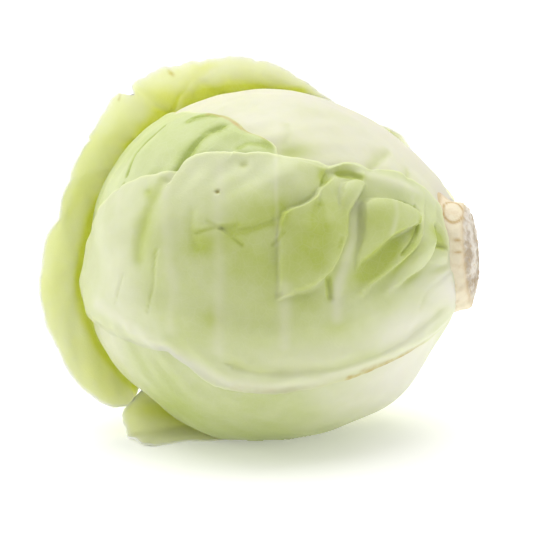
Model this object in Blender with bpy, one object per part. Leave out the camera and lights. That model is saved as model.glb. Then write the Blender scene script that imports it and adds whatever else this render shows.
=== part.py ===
"""A white cabbage lying on its side, as cut: a stalk, a dense head and its outer leaves.

Lengths are millimetres until a mesh is written, which is in metres.
Every leaf is laid out on a flat chart of its own. The chart's u runs towards the stem,
its v runs across, and both are millimetres along a sphere of CHART_RADIUS.
A place on the head is two angles in degrees: along, from the stem axis, and around it,
where 0 is the upper side, 90 the front, 180 the underside and 270 the back.
"""
import math
from dataclasses import dataclass, field

import bmesh
import bpy
import numpy as np

MM = 0.001
LEAST = 1e-6
MERGE_WITHIN = 0.001

# The head's place and the way its stem points
HEAD_CENTRE = np.array((1.5, -1.2, 73.3))
STEM_TURN = math.radians(8)
STEM_RISE = math.radians(6)

# The dense head: its radius, and how it draws out into a neck towards the stem
HEAD_RADIUS = 71.0
CROWN_DROP = 2.5
CROWN_START = 110.0
CROWN_END = 170.0
NECK_RISE = 14.0
NECK_ANGLE = 28.0
NECK_POWER = 1.3
COLLAR_RISE = 7.0
COLLAR_ANGLE = 14.0

# Where the dense head juts out: along, around, extent in degrees, and height
HEAD_JUTS = ((159, 140, 38, 5.4), (60, 171, 45, 3.5), (46, 175, 22, 3.5), (112, 163, 28, 3.0))

# The dense head's cut, its flat underside, and how finely it is modelled
HEAD_CUT = 76.0
HEAD_REST = 6.6
CUT_SEARCH = (5.0, 45.0)
CUT_SEARCH_STEPS = 40
PRESS_DEPTH = 0.5
HEAD_ROUND_STEPS = 40
HEAD_LONG_STEPS = 22

# How leaves lie on each other
CHART_RADIUS = 75.0
LEAF_GAP = 0.8
COVER_MARGIN = 4.0
COVER_BAND = 14.0
RIM_WIDTH = 12.0
REACH_SPREAD = math.radians(1.5)

# How a leaf's body and relief change over its chart
BASE_START = 40.0
BASE_END = 100.0
TIP_STRENGTH = 0.35
TIP_START = -60.0
TIP_END = 80.0
VEIN_DEPTH = 0.92
SIDE_RIB_LEAN = 0.75
SIDE_RIB_BEND = 0.004
RIPPLE_START = 20.0

# The stalk: the cut stump, as axial place and radius
STALK_PROFILE = (
    (76.6, 0.0), (76.6, 23.8), (80.4, 19.4), (84.0, 19.4), (87.5, 21.2), (89.0, 20.9),
    (91.0, 17.5), (92.6, 11.5), (93.6, 5.0), (93.9, 0.0),
)
STALK_STEPS = 32
STUB_AROUND = 40.0
STUB_AXIAL = 86.5
STUB_HEIGHT = 2.2
STUB_SPREAD = (26.0, 3.2)

# Finishes that are not a leaf's own
HEAD_COLOUR = (0.80, 0.84, 0.62)
LEAF_ROUGHNESS = 0.45
STALK_COLOUR = (0.70, 0.62, 0.45)
STALK_ROUGHNESS = 0.7

STEM = np.array((
    math.cos(STEM_RISE) * math.cos(STEM_TURN),
    -math.cos(STEM_RISE) * math.sin(STEM_TURN),
    math.sin(STEM_RISE),
))
UPPER = np.array((0.0, 0.0, 1.0)) - STEM[2] * STEM
UPPER /= np.linalg.norm(UPPER)
FRONT = np.cross(STEM, UPPER)


def direction(along, around):
    """Give the unit vector of a place on the head."""
    along, around = math.radians(along), math.radians(around)
    ring = math.cos(around) * UPPER + math.sin(around) * FRONT
    return math.cos(along) * STEM + math.sin(along) * ring


def smooth_step(value):
    """Rise from 0 to 1 with level ends."""
    value = np.clip(value, 0.0, 1.0)
    return value * value * (3.0 - 2.0 * value)


def line_distance(u, v, line):
    """Give each point's distance to a line of chart points."""
    nearest = np.full(u.shape, np.inf)
    for (u0, v0), (u1, v1) in zip(line[:-1], line[1:]):
        du, dv = u1 - u0, v1 - v0
        share = ((u - u0) * du + (v - v0) * dv) / (du * du + dv * dv)
        share = np.clip(share, 0.0, 1.0)
        nearest = np.minimum(nearest, np.hypot(u - u0 - share * du, v - v0 - share * dv))
    return nearest


def swell(u, v, place, size, turn=0.0):
    """Give a round-topped bump, 1 high, as long and wide as size and turned by degrees."""
    turn = math.radians(turn)
    du, dv = u - place[0], v - place[1]
    long_way = (du * math.cos(turn) + dv * math.sin(turn)) / size[0]
    cross_way = (dv * math.cos(turn) - du * math.sin(turn)) / size[1]
    return np.exp(-long_way ** 2 - cross_way ** 2)


@dataclass
class Leaf:
    """One leaf: its place, its outline as places on the head, its body and its relief."""

    name: str
    centre: tuple
    outline: tuple
    cells: tuple
    colour: tuple
    grid_turn: float = 0.0
    thickness: float = 1.3
    rim: float = 0.8
    base_extra: float = 0.8
    gap: float = LEAF_GAP
    rest: float = 4.5
    midrib: tuple = ()
    midrib_height: float = 0.0
    midrib_width: float = 6.0
    veins: tuple = ()
    vein_width: float = 4.5
    swells: tuple = ()
    ripple: float = 0.0
    ripple_length: float = 17.0
    stand: tuple = ()
    stand_from: float = 0.5
    stand_power: float = 2.2
    table: tuple = field(init=False)

    def __post_init__(self):
        self.out = direction(*self.centre)
        self.to_stem = STEM - (STEM @ self.out) * self.out
        self.to_stem /= np.linalg.norm(self.to_stem)
        self.across = np.cross(self.out, self.to_stem)
        places = np.array([direction(*place) for place in self.outline])
        u, v = self.flatten(places)
        turns = np.arctan2(v, u)
        order = np.argsort(turns)
        self.table = (turns[order], np.hypot(u, v)[order])

    def flatten(self, places):
        """Give the chart's u and v of unit vectors."""
        angle = np.arccos(np.clip(places @ self.out, -1.0, 1.0))
        turn = np.arctan2(places @ self.across, places @ self.to_stem)
        return CHART_RADIUS * angle * np.cos(turn), CHART_RADIUS * angle * np.sin(turn)

    def unroll(self, u, v):
        """Give the unit vectors of points on the chart."""
        angle = np.hypot(u, v) / CHART_RADIUS
        turn = np.arctan2(v, u)
        side = np.outer(np.cos(turn), self.to_stem) + np.outer(np.sin(turn), self.across)
        return np.cos(angle)[:, None] * self.out + np.sin(angle)[:, None] * side

    def reach(self, turn):
        """Give how far the outline is from the chart's middle at each turn."""
        total = np.zeros_like(turn)
        for offset, weight in ((-1.0, 0.25), (0.0, 0.5), (1.0, 0.25)):
            at = turn + offset * REACH_SPREAD
            total += weight * np.interp(at, self.table[0], self.table[1], period=math.tau)
        return total

    def rib_thickness(self, u, v):
        """Give the body's thickness away from the rim, with its midrib."""
        stemward = smooth_step((u - BASE_START) / (BASE_END - BASE_START))
        thickness = self.thickness + self.base_extra * stemward
        if self.midrib:
            away = line_distance(u, v, self.midrib) / self.midrib_width
            growth = smooth_step((u - TIP_START) / (TIP_END - TIP_START))
            strength = TIP_STRENGTH + (1.0 - TIP_STRENGTH) * growth
            thickness = thickness + self.midrib_height * strength * np.exp(-away ** 2)
        return thickness

    def relief(self, u, v):
        """Give how far the leaf is puckered outward, the same on both its faces."""
        lift = np.zeros_like(u)
        for place, size, turn, height in self.swells:
            lift += height * swell(u, v, place, size, turn)
        if self.veins:
            away = np.full(u.shape, np.inf)
            for vein in self.veins:
                away = np.minimum(away, line_distance(u, v, vein))
            lift *= 1.0 - VEIN_DEPTH * np.exp(-(away / self.vein_width) ** 2)
        if self.ripple:
            branch = u + SIDE_RIB_LEAN * np.abs(v) + SIDE_RIB_BEND * v * v
            side_rib = branch / self.ripple_length
            from_midrib = smooth_step(np.abs(v) / RIPPLE_START)
            lift += self.ripple * from_midrib * np.sin(math.pi * side_rib) ** 2
        inside = self.reach(np.arctan2(v, u)) - np.hypot(u, v)
        return lift * smooth_step(inside / RIM_WIDTH)

    def cover(self, u, v):
        """Give 1 where the leaf lies, easing to 0 outside its outline."""
        outside = np.hypot(u, v) - self.reach(np.arctan2(v, u)) - COVER_MARGIN
        return 1.0 - smooth_step(outside / COVER_BAND)

    def rise(self, places):
        """Give how much this leaf raises what lies over it."""
        u, v = self.flatten(places)
        body = self.gap + self.rib_thickness(u, v) + self.relief(u, v)
        return body * self.cover(u, v)

    def stand_off(self, u, v):
        """Give how far a loose leaf stands off what it wraps."""
        if not self.stand:
            return np.zeros_like(u)
        turn = np.arctan2(v, u)
        share = np.hypot(u, v) / self.reach(turn)
        turns, heights = zip(*((math.radians(a), h) for a, h in self.stand))
        most = np.interp(turn, turns, heights, period=math.tau)
        flare = np.clip((share - self.stand_from) / (1.0 - self.stand_from), 0.0, 1.0)
        return most * flare ** self.stand_power


LEAF_BACK = Leaf(
    name="leaf_back",
    centre=(88, 268),
    outline=(
        (15, 215), (15, 245), (15, 268), (15, 292), (15, 320), (30, 335), (60, 335),
        (95, 338), (130, 345), (155, 350), (168, 300), (164, 240), (150, 205), (120, 198),
        (85, 200), (50, 200), (25, 200),
    ),
    cells=(18, 16),
    colour=(0.72, 0.79, 0.47),
    midrib=((94, 0), (40, 2), (-40, -3), (-80, 0)),
    midrib_height=1.0,
    midrib_width=7.0,
    ripple=0.8,
)

LEAF_TOP = Leaf(
    name="leaf_top",
    centre=(88, 352),
    outline=(
        (15, 300), (15, 325), (15, 352), (15, 15), (16, 45), (22, 60), (40, 62), (65, 60),
        (95, 56), (120, 50), (145, 48), (165, 60), (174, 330), (165, 280), (140, 287),
        (110, 290), (75, 290), (45, 290), (25, 290),
    ),
    cells=(20, 18),
    colour=(0.88, 0.88, 0.72),
    midrib=((94, 2), (40, 4), (-40, 3), (-80, 0)),
    midrib_height=0.9,
    midrib_width=9.0,
    swells=(((-5, -44), (30, 12), 4, 0.9), ((38, -46), (22, 10), -12, 0.8)),
    ripple=0.35,
)

LEAF_UNDER = Leaf(
    name="leaf_under",
    centre=(90, 172),
    outline=(
        (15, 118), (15, 145), (15, 172), (15, 200), (15, 225), (28, 240), (60, 243),
        (95, 240), (130, 238), (155, 236), (170, 190), (168, 130), (158, 96), (135, 92),
        (110, 96), (80, 104), (50, 106), (28, 108),
    ),
    cells=(20, 18),
    colour=(0.74, 0.80, 0.56),
    rest=2.3,
    ripple=0.45,
    ripple_length=21.0,
)

LEAF_CROWN = Leaf(
    name="leaf_crown",
    centre=(128, 20),
    outline=(
        (75, 39), (76, 33), (81, 31), (86, 28), (91, 21), (100, 14), (106, 9), (113, 0),
        (116, 352), (124, 345), (137, 336), (150, 325), (163, 300), (173, 230), (168, 130),
        (158, 95), (142, 80), (122, 72), (100, 66), (82, 60), (76, 50),
    ),
    cells=(20, 18),
    colour=(0.76, 0.83, 0.46),
    thickness=1.2,
    base_extra=0.0,
    veins=(
        ((22, -29), (28, -23), (35, -15), (45, -8)),
        ((-4, -14), (0, -6), (8, 3), (17, 8)),
    ),
    vein_width=3.2,
    swells=(
        ((16, 2), (20, 16), 40, 1.8), ((40, -20), (13, 10), 40, 2.2),
        ((-18, -6), (16, 26), 0, 1.4), ((-46, 8), (24, 24), 0, 1.0),
    ),
)

LEAF_FRONT = Leaf(
    name="leaf_front",
    centre=(88, 80),
    outline=(
        (14.5, 80), (15, 62), (17, 42), (18, 25), (24, 19), (35, 25), (45, 33), (49, 33),
        (55, 36), (59, 39.5), (63, 38), (71, 39), (86, 39), (95, 38), (103, 38), (108, 41),
        (115, 40), (128, 37), (142, 36), (155, 38), (165, 48), (171, 84), (163, 112),
        (150, 111), (134, 108), (117, 106), (109, 111), (101, 118), (90, 121), (74, 125),
        (59, 127), (51, 132), (40, 139), (29, 160), (20, 172), (16, 166), (14.5, 140),
        (14.5, 110),
    ),
    cells=(40, 24),
    colour=(0.68, 0.78, 0.38),
    grid_turn=-35.0,
    thickness=1.2,
    midrib=(
        (106, -38), (90, -47), (70, -49), (50, -50), (30, -53), (10, -52), (-10, -47),
        (-25, -39), (-50, -24), (-75, -10),
    ),
    midrib_height=1.8,
    midrib_width=4.5,
    veins=(
        ((18, 53), (17, 43), (16, 23), (16, 14), (14, -10), (9, -30)),
        ((44, -36), (47, -14), (49, 9), (51, 22), (54, 34), (66, 46)),
        ((56, -32), (58, -15), (64, -4), (73, 5), (82, 11), (93, 18)),
        ((66, -28), (70, -12), (78, -3), (88, 5), (96, 11)),
        ((6, 55), (-1, 34), (-6, 13), (-10, -8), (-14, -30)),
        ((-32, 50), (-33, 19), (-38, -7), (-46, -22)),
    ),
    swells=(
        ((35, 12), (13, 22), 8, 5.2), ((28, 38), (10, 10), 0, 3.0),
        ((54, 37), (9, 8), 0, 3.4), ((69, 22), (14, 13), 15, 5.4),
        ((68, -2), (9, 16), -42, 4.2), ((84, 4), (7, 15), -40, 3.8),
        ((88, 24), (8, 8), 0, 2.0), ((6, 32), (10, 12), 0, 2.2),
        ((5, 12), (11, 14), 0, 2.2), ((34, -20), (14, 16), 0, 1.8),
        ((-18, 22), (18, 26), 0, 1.8), ((-14, -12), (20, 18), 0, 1.2),
        ((-58, 16), (22, 26), 0, 1.6), ((92, -14), (14, 14), 0, 1.2),
    ),
)

OUTER_LEAF_LOW = Leaf(
    name="outer_leaf_low",
    centre=(88, 206),
    outline=(
        (15, 226), (15, 235), (15, 245), (20, 250), (40, 250), (70, 246), (100, 236),
        (120, 222), (129, 208), (134, 198), (137.7, 187.7), (138.3, 181.9), (138.7, 175),
        (138.3, 168.6), (138, 163.7), (136.1, 161.7), (134, 160.3), (131.7, 160.9),
        (128.8, 155.3), (125.9, 153.5), (123.4, 154.1), (121.3, 156.3), (117.9, 161.5),
        (111.4, 161.9), (105.4, 164.8), (97.9, 165.9), (90, 170), (80, 177), (72, 186),
        (60, 196), (49, 203), (35, 210), (24, 215),
    ),
    cells=(26, 20),
    colour=(0.66, 0.75, 0.30),
    thickness=1.4,
    gap=1.2,
    rest=0.0,
    midrib=((94, 4), (40, -6), (-10, -11), (-50, -8)),
    midrib_height=2.0,
    ripple=0.6,
    stand=(
        (-180, 1), (-90, 1), (0, 0), (90, 0), (104, 1), (114, 2), (121, 4), (128, 8),
        (131, 13.5), (134, 16.5), (142, 17.8), (144, 14.7), (149, 10.8), (152, 8),
        (156, 5.7), (160.5, 3.3), (164.5, 1.3),
    ),
    stand_from=0.5,
)

OUTER_LEAF_BACK = Leaf(
    name="outer_leaf_back",
    centre=(108, 296),
    outline=(
        (15, 262), (15, 276), (15, 292), (28, 300), (40, 308), (50, 312), (58, 316),
        (66, 322), (74, 329), (81, 335), (88, 338), (95, 339), (104, 340), (113, 343),
        (121, 346), (123, 343), (126, 349), (133, 352), (140, 355), (150, 3), (160, 16),
        (165, 32), (169, 63), (167, 97), (162.8, 127), (160, 137.1), (155.2, 143.5),
        (150.9, 149.6), (148.4, 152.5), (145.4, 155.1), (143.5, 157.7), (141.3, 161.1),
        (140.5, 164.6), (139.9, 169.2), (138.8, 175.8), (138, 182), (138.5, 190),
        (139, 200), (137, 214), (127, 232), (105, 242), (70, 248), (40, 254), (20, 262),
    ),
    cells=(28, 22),
    colour=(0.68, 0.77, 0.27),
    thickness=1.4,
    rim=0.9,
    gap=0.9,
    midrib=((120, 0), (60, 1), (0, 2), (-50, 3)),
    midrib_height=3.6,
    midrib_width=5.5,
    ripple=1.5,
    ripple_length=19.0,
    stand=(
        (-180, 14.5), (-171, 16), (-159, 19), (-140, 19.5), (-110, 18.5), (-80, 16),
        (-55, 7), (-30, 2), (0, 0), (40, 2), (90, 4), (134, 4.5), (139, 6.5), (142, 10.5),
        (149, 10), (151, 10.5), (154, 13), (162, 16), (169, 16.7), (173, 17), (177, 15),
    ),
    stand_from=0.42,
)

HUGGING = (LEAF_BACK, LEAF_TOP, LEAF_UNDER, LEAF_CROWN, LEAF_FRONT)
LOOSE = (OUTER_LEAF_LOW, OUTER_LEAF_BACK)
ORDER = HUGGING + LOOSE


def jut_lift(places):
    """Give how far the dense head's juts lift it at each place."""
    lift = np.zeros(len(places))
    for along, around, extent, height in HEAD_JUTS:
        angle = np.arccos(np.clip(places @ direction(along, around), -1.0, 1.0))
        away = np.degrees(angle) / extent
        lift += height * np.maximum(1.0 - away ** 2, 0.0) ** 2
    return lift


def round_radius(places):
    """Give the dense head's radius without its juts, the same all round the stem axis."""
    along = np.degrees(np.arccos(np.clip(places @ STEM, -1.0, 1.0)))
    neck = NECK_RISE * np.exp(-(along / NECK_ANGLE) ** NECK_POWER)
    collar = COLLAR_RISE * np.exp(-(along / COLLAR_ANGLE) ** 2)
    crown = CROWN_DROP * smooth_step((along - CROWN_START) / (CROWN_END - CROWN_START))
    return HEAD_RADIUS + neck + collar - crown


def head_radius(places):
    """Give the dense head's radius before its weight flattens it."""
    return round_radius(places) + jut_lift(places)


def flattened(places, radius, height):
    """Keep a surface above a height, as the head's weight presses it flat."""
    down = np.maximum(-places[:, 2], LEAST)
    return np.minimum(radius, (HEAD_CENTRE[2] - height) / down)


def wrapped_radius(places, layers):
    """Give the radius over the head and the first leaves of the order."""
    radius = head_radius(places)
    for leaf in ORDER[:layers]:
        radius = radius + leaf.rise(places)
    return radius


def new_object(name, bm, colour, roughness):
    """Write a millimetre bmesh as an object in metres with a material of its own."""
    bmesh.ops.scale(bm, vec=(MM, MM, MM), verts=bm.verts)
    bmesh.ops.recalc_face_normals(bm, faces=bm.faces)
    mesh = bpy.data.meshes.new(name)
    bm.to_mesh(mesh)
    bm.free()
    mesh.shade_smooth()
    item = bpy.data.objects.new(name, mesh)
    bpy.context.collection.objects.link(item)
    material = bpy.data.materials.new(name)
    material.use_nodes = True
    shader = material.node_tree.nodes["Principled BSDF"]
    shader.inputs["Base Color"].default_value = (*colour, 1.0)
    shader.inputs["Roughness"].default_value = roughness
    shader.inputs["Metallic"].default_value = 0.0
    mesh.materials.append(material)
    return item


def square_to_disc(x, y):
    """Map a square of half side 1 onto a disc of radius 1."""
    return x * np.sqrt(1.0 - y * y / 2.0), y * np.sqrt(1.0 - x * x / 2.0)


def place_sheet(leaf, bm):
    """Lay a flat square grid over the head as the leaf's inner face, and give its body."""
    square = np.array([vert.co for vert in bm.verts])
    disc_x, disc_y = square_to_disc(square[:, 0], square[:, 1])
    turn = np.arctan2(disc_y, disc_x) + math.radians(leaf.grid_turn)
    share = np.minimum(np.hypot(disc_x, disc_y), 1.0)
    reach = leaf.reach(turn)
    u, v = share * reach * np.cos(turn), share * reach * np.sin(turn)
    inside = smooth_step((1.0 - share) * reach / RIM_WIDTH)
    body = leaf.rim + (leaf.rib_thickness(u, v) - leaf.rim) * inside
    places = leaf.unroll(u, v)
    layers = min(ORDER.index(leaf), len(HUGGING))
    radius = wrapped_radius(places, layers) + leaf.gap
    radius += leaf.relief(u, v) + leaf.stand_off(u, v)
    radius = flattened(places, radius, leaf.rest + body)
    for vert, place, length in zip(bm.verts, places, radius):
        vert.co = HEAD_CENTRE + length * place
    return body


def build_leaf(leaf):
    """Make a leaf as a closed sheet, split into triangles alike on both faces."""
    bm = bmesh.new()
    bmesh.ops.create_grid(bm, x_segments=leaf.cells[0], y_segments=leaf.cells[1], size=1.0)
    body = place_sheet(leaf, bm)
    bmesh.ops.triangulate(bm, faces=bm.faces, quad_method="SHORT_EDGE")
    bm.normal_update()
    outward = bm.verts.layers.float_vector.new("outward")
    for vert, thickness in zip(bm.verts, body):
        vert[outward] = vert.normal * float(thickness)
    result = bmesh.ops.extrude_face_region(bm, geom=list(bm.faces), use_keep_orig=True)
    outer = [item for item in result["geom"] if isinstance(item, bmesh.types.BMVert)]
    for vert in outer:
        vert.co += vert[outward]
        if vert.co.z < leaf.rest + PRESS_DEPTH:
            vert.co.z = leaf.rest
    return new_object(leaf.name, bm, leaf.colour, LEAF_ROUGHNESS)


def spin_round_stem(bm, profile, steps):
    """Turn a profile of axial places and radii about the stem axis into a closed body."""
    points = [bm.verts.new(HEAD_CENTRE + axial * STEM + radius * UPPER)
              for axial, radius in profile]
    edges = [bm.edges.new(pair) for pair in zip(points[:-1], points[1:])]
    bmesh.ops.spin(
        bm, geom=points + edges, cent=HEAD_CENTRE, axis=STEM,
        angle=math.tau, steps=steps, use_merge=True,
    )
    bmesh.ops.remove_doubles(bm, verts=bm.verts, dist=MERGE_WITHIN)
    bmesh.ops.triangulate(bm, faces=bm.faces)


def cut_angle():
    """Find the angle from the stem axis at which the head is cut flat."""
    near, far = CUT_SEARCH
    for _ in range(CUT_SEARCH_STEPS):
        middle = (near + far) / 2.0
        place = direction(middle, 0.0)
        axial = round_radius(place[None, :])[0] * math.cos(math.radians(middle))
        near, far = (middle, far) if axial > HEAD_CUT else (near, middle)
    return far


def build_head():
    """Make the dense head, round but for its cut and its small flat underside."""
    start = cut_angle()
    profile = [(HEAD_CUT, 0.0)]
    for step in range(HEAD_LONG_STEPS + 1):
        along = start + (180.0 - start) * step / HEAD_LONG_STEPS
        length = round_radius(direction(along, 0.0)[None, :])[0]
        angle = math.radians(along)
        radius = 0.0 if step == HEAD_LONG_STEPS else length * math.sin(angle)
        profile.append((length * math.cos(angle), radius))
    bm = bmesh.new()
    spin_round_stem(bm, profile, HEAD_ROUND_STEPS)
    offsets = np.array([vert.co for vert in bm.verts]) - HEAD_CENTRE
    lengths = np.linalg.norm(offsets, axis=1)
    places = offsets / lengths[:, None]
    lengths = flattened(places, lengths + jut_lift(places), HEAD_REST)
    for vert, place, length in zip(bm.verts, places, lengths):
        vert.co = HEAD_CENTRE + length * place
    return new_object("head", bm, HEAD_COLOUR, LEAF_ROUGHNESS)


def build_stalk():
    """Make the cut stump with the scar of a broken leaf base on its upper side."""
    bm = bmesh.new()
    spin_round_stem(bm, STALK_PROFILE, STALK_STEPS)
    for vert in bm.verts:
        offset = np.array(vert.co) - HEAD_CENTRE
        axial = offset @ STEM
        ring = offset - axial * STEM
        radius = np.linalg.norm(ring)
        if radius < LEAST:
            continue
        around = math.degrees(math.atan2(ring @ FRONT, ring @ UPPER))
        off_scar = ((around - STUB_AROUND) / STUB_SPREAD[0], (axial - STUB_AXIAL) / STUB_SPREAD[1])
        rise = STUB_HEIGHT * math.exp(-off_scar[0] ** 2 - off_scar[1] ** 2)
        vert.co = HEAD_CENTRE + axial * STEM + ring * (1.0 + rise / radius)
    return new_object("stalk", bm, STALK_COLOUR, STALK_ROUGHNESS)


def clear_scene():
    """Remove the objects that the scene holds."""
    for item in list(bpy.data.objects):
        bpy.data.objects.remove(item, do_unlink=True)


def main():
    """Build the cabbage, one object for each piece."""
    clear_scene()
    build_stalk()
    build_head()
    for leaf in ORDER:
        build_leaf(leaf)


main()
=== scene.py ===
"""The look of a white cabbage that lies on its side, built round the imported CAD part.

Lengths are millimetres until a mesh is written, which is in metres.
A place on the head is two angles in degrees: along, from the stem axis, and around it,
where 0 is the upper side, 90 the front, 180 the underside and 270 the back.
Each leaf has a flat chart: u runs towards the stem, v runs across the leaf.
"""

import logging
import math
from dataclasses import dataclass, field
from enum import Enum

import bmesh
import bpy
import numpy as np
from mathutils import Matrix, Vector


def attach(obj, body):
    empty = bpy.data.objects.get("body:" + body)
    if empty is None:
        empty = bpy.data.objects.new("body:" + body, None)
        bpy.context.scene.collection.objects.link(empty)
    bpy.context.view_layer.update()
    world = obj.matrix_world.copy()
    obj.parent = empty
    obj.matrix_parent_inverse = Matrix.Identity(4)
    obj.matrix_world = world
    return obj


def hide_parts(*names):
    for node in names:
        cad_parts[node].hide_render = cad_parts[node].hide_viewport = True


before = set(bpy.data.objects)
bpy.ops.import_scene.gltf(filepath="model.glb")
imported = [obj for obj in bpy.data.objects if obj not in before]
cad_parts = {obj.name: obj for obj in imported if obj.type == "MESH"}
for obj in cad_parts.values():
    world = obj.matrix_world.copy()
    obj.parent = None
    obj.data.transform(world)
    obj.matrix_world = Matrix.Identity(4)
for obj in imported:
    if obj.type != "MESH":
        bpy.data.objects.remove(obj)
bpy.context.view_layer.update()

LOG = logging.getLogger("cabbage")
MM = 0.001
LEAST = 1e-6

HEAD_CENTRE = np.array((1.5, -1.2, 73.3))
STEM_TURN = math.radians(8)
STEM_RISE = math.radians(6)
STEM = np.array((
    math.cos(STEM_RISE) * math.cos(STEM_TURN),
    -math.cos(STEM_RISE) * math.sin(STEM_TURN),
    math.sin(STEM_RISE),
))
UPPER = np.array((0.0, 0.0, 1.0)) - STEM[2] * STEM
UPPER /= np.linalg.norm(UPPER)
FRONT = np.cross(STEM, UPPER)

# Millimetres of chart for a radian on the head, and for 1 in the UV map
CHART_RADIUS = 75.0
CHART_UV = 100.0
# The rim's small waves are read on a ring of this radius
RIM_RING = 80.0
# How wide the rim's thinning, its pale edge and a soft margin are
RIM_WIDTH = 12.0
EDGE_WIDTH = 1.1
SOFT_WIDTH = 7.0
# How thick a soft rim is
SOFT_RIM = 0.3
# How close to the rim the nicks and the ruffles stay
NICK_POWER = 14
RUFFLE_POWER = 6
# How far beyond its rim a leaf still raises what lies over it, and where that has faded
COVER_MARGIN = 4.0
COVER_BAND = 14.0
# The slope, the bend and the start of the ribs beside a midrib
SIDE_RIB_SLOPE = 0.75
SIDE_RIB_BEND = 0.004
SIDE_RIB_START = 20.0
# Where a leaf begins to thicken to its base, and over what length
BASE_START = 40.0
BASE_BAND = 60.0
# Where a midrib begins to grow to its base, over what length, and how strong it is before
MIDRIB_START = -60.0
MIDRIB_BAND = 140.0
MIDRIB_TIP = 0.35
# How many degrees the corners of an outline are rounded by
ROUNDING = 1.5
# How near its rest height an outer face is pressed flat
PRESSED = 0.5

# How green a loose leaf's outer face is, and how much it takes on of the inner face's green,
# painted shade included
OUTSIDE_GREEN = 0.5
INSIDE_SHARE = 0.2
# How much greener painted shade a millimetre of crease depth adds, and how pale the midrib is
CREASE_SHADE = 0.5
MIDRIB_PALE = 0.5
# What the green value is multiplied by and moved by
GREEN_RANGE = (1.15, -0.05)
# How the mottles break up the browning of a torn rim, and how strong it is
TORN_RANGE = (1.5, -0.35)
TORN_STRENGTH = 1.8
# How much the mottles change the skin's roughness
ROUGH_DRIFT = 0.12
# How strongly the net of veins tints the skin
NET_TINT = 0.42
# How far the net, the mottles and the grain stand out, compared with each other
NET_HEIGHT = 0.5
MOTTLE_HEIGHT = 0.5
GRAIN_HEIGHT = 0.12

# Cloudy patterns, as scale, detail and roughness
CLOUD = (38.0, 4.0, 0.55)
MOTTLE = (170.0, 3.0, 0.6)
GRAIN = (900.0, 2.0, 0.5)
CUT_CLOUD = (120.0, 4.0, 0.6)
CUT_GRAIN = (520.0, 3.0, 0.65)
# The net of fine veins, as the cells' scale, the lines' width and their strength
NET_LAYERS = ((22.0, 0.09, 0.5), (60.0, 0.12, 0.35))
# How the net is warped, as the noise's scale and detail and the shift
NET_WARP = (9.0, 2.0, 0.05)

Points = tuple[tuple[float, float], ...]
Colour = tuple[float, float, float]


def direction(along: float, around: float) -> np.ndarray:
    """Give the unit vector of a place on the head.

    Args:
        along: Degrees from the stem axis.
        around: Degrees round the stem axis.

    Returns:
        A unit vector in the frame of the part.
    """
    along, around = math.radians(along), math.radians(around)
    ring = math.cos(around) * UPPER + math.sin(around) * FRONT
    return math.cos(along) * STEM + math.sin(along) * ring


def smooth_step(value: np.ndarray) -> np.ndarray:
    """Rise from 0 to 1 with level ends."""
    value = np.clip(value, 0.0, 1.0)
    return value * value * (3.0 - 2.0 * value)


def bell(value: np.ndarray) -> np.ndarray:
    """Fall from 1 at zero to nothing past about two."""
    return np.exp(-value * value)


def side_distance(u: np.ndarray, v: np.ndarray, line: Points) -> np.ndarray:
    """Give each point's distance to a line, negative on the line's left side.

    Args:
        u: Places along the chart.
        v: Places across the chart.
        line: Corners of the line on the chart.

    Returns:
        Signed distances in millimetres.
    """
    nearest = np.full(u.shape, np.inf)
    signed = np.zeros(u.shape)
    for (u0, v0), (u1, v1) in zip(line[:-1], line[1:]):
        du, dv = u1 - u0, v1 - v0
        share = np.clip(((u - u0) * du + (v - v0) * dv) / (du * du + dv * dv), 0.0, 1.0)
        gap_u, gap_v = u - u0 - share * du, v - v0 - share * dv
        away = np.hypot(gap_u, gap_v)
        closer = away < nearest
        side = np.sign(du * gap_v - dv * gap_u)
        signed = np.where(closer, np.where(side > 0.0, -away, away), signed)
        nearest = np.where(closer, away, nearest)
    return signed


@dataclass(frozen=True)
class Waves:
    """Smooth, repeatable unevenness made of a few crossing waves.

    Args:
        length: The usual distance from crest to crest, in millimetres.
        seed: The seed of the random draw.
        count: How many waves cross.
    """

    length: float
    seed: int
    count: int = 9

    def at(self, *axes: np.ndarray) -> np.ndarray:
        """Give the unevenness, about -1 to 1, at points given by two or three axes.

        Args:
            axes: The points' places on each of two or three axes.

        Returns:
            The unevenness of each point.
        """
        draw = np.random.default_rng(self.seed)
        total = np.zeros(axes[0].shape)
        for _ in range(self.count):
            way = draw.normal(size=len(axes))
            way /= np.linalg.norm(way)
            pitch = math.tau / (self.length * draw.uniform(0.7, 1.5))
            phase = draw.uniform(0.0, math.tau)
            total += np.sin(pitch * sum(w * a for w, a in zip(way, axes)) + phase)
        return total / math.sqrt(self.count)


# The unevenness of a rim, coarse and fine, of a ruffle, of a skin, of a stump and of its cut
RIM_WAVES = ((Waves(7.0, 11), 0.6), (Waves(3.2, 12), 0.4))
RUFFLE_WAVES = Waves(15.0, 31)
SKIN_WAVES = Waves(13.0, 3)
STUMP_WAVES = Waves(6.0, 21)
CUT_WAVES = Waves(3.0, 22)


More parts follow.
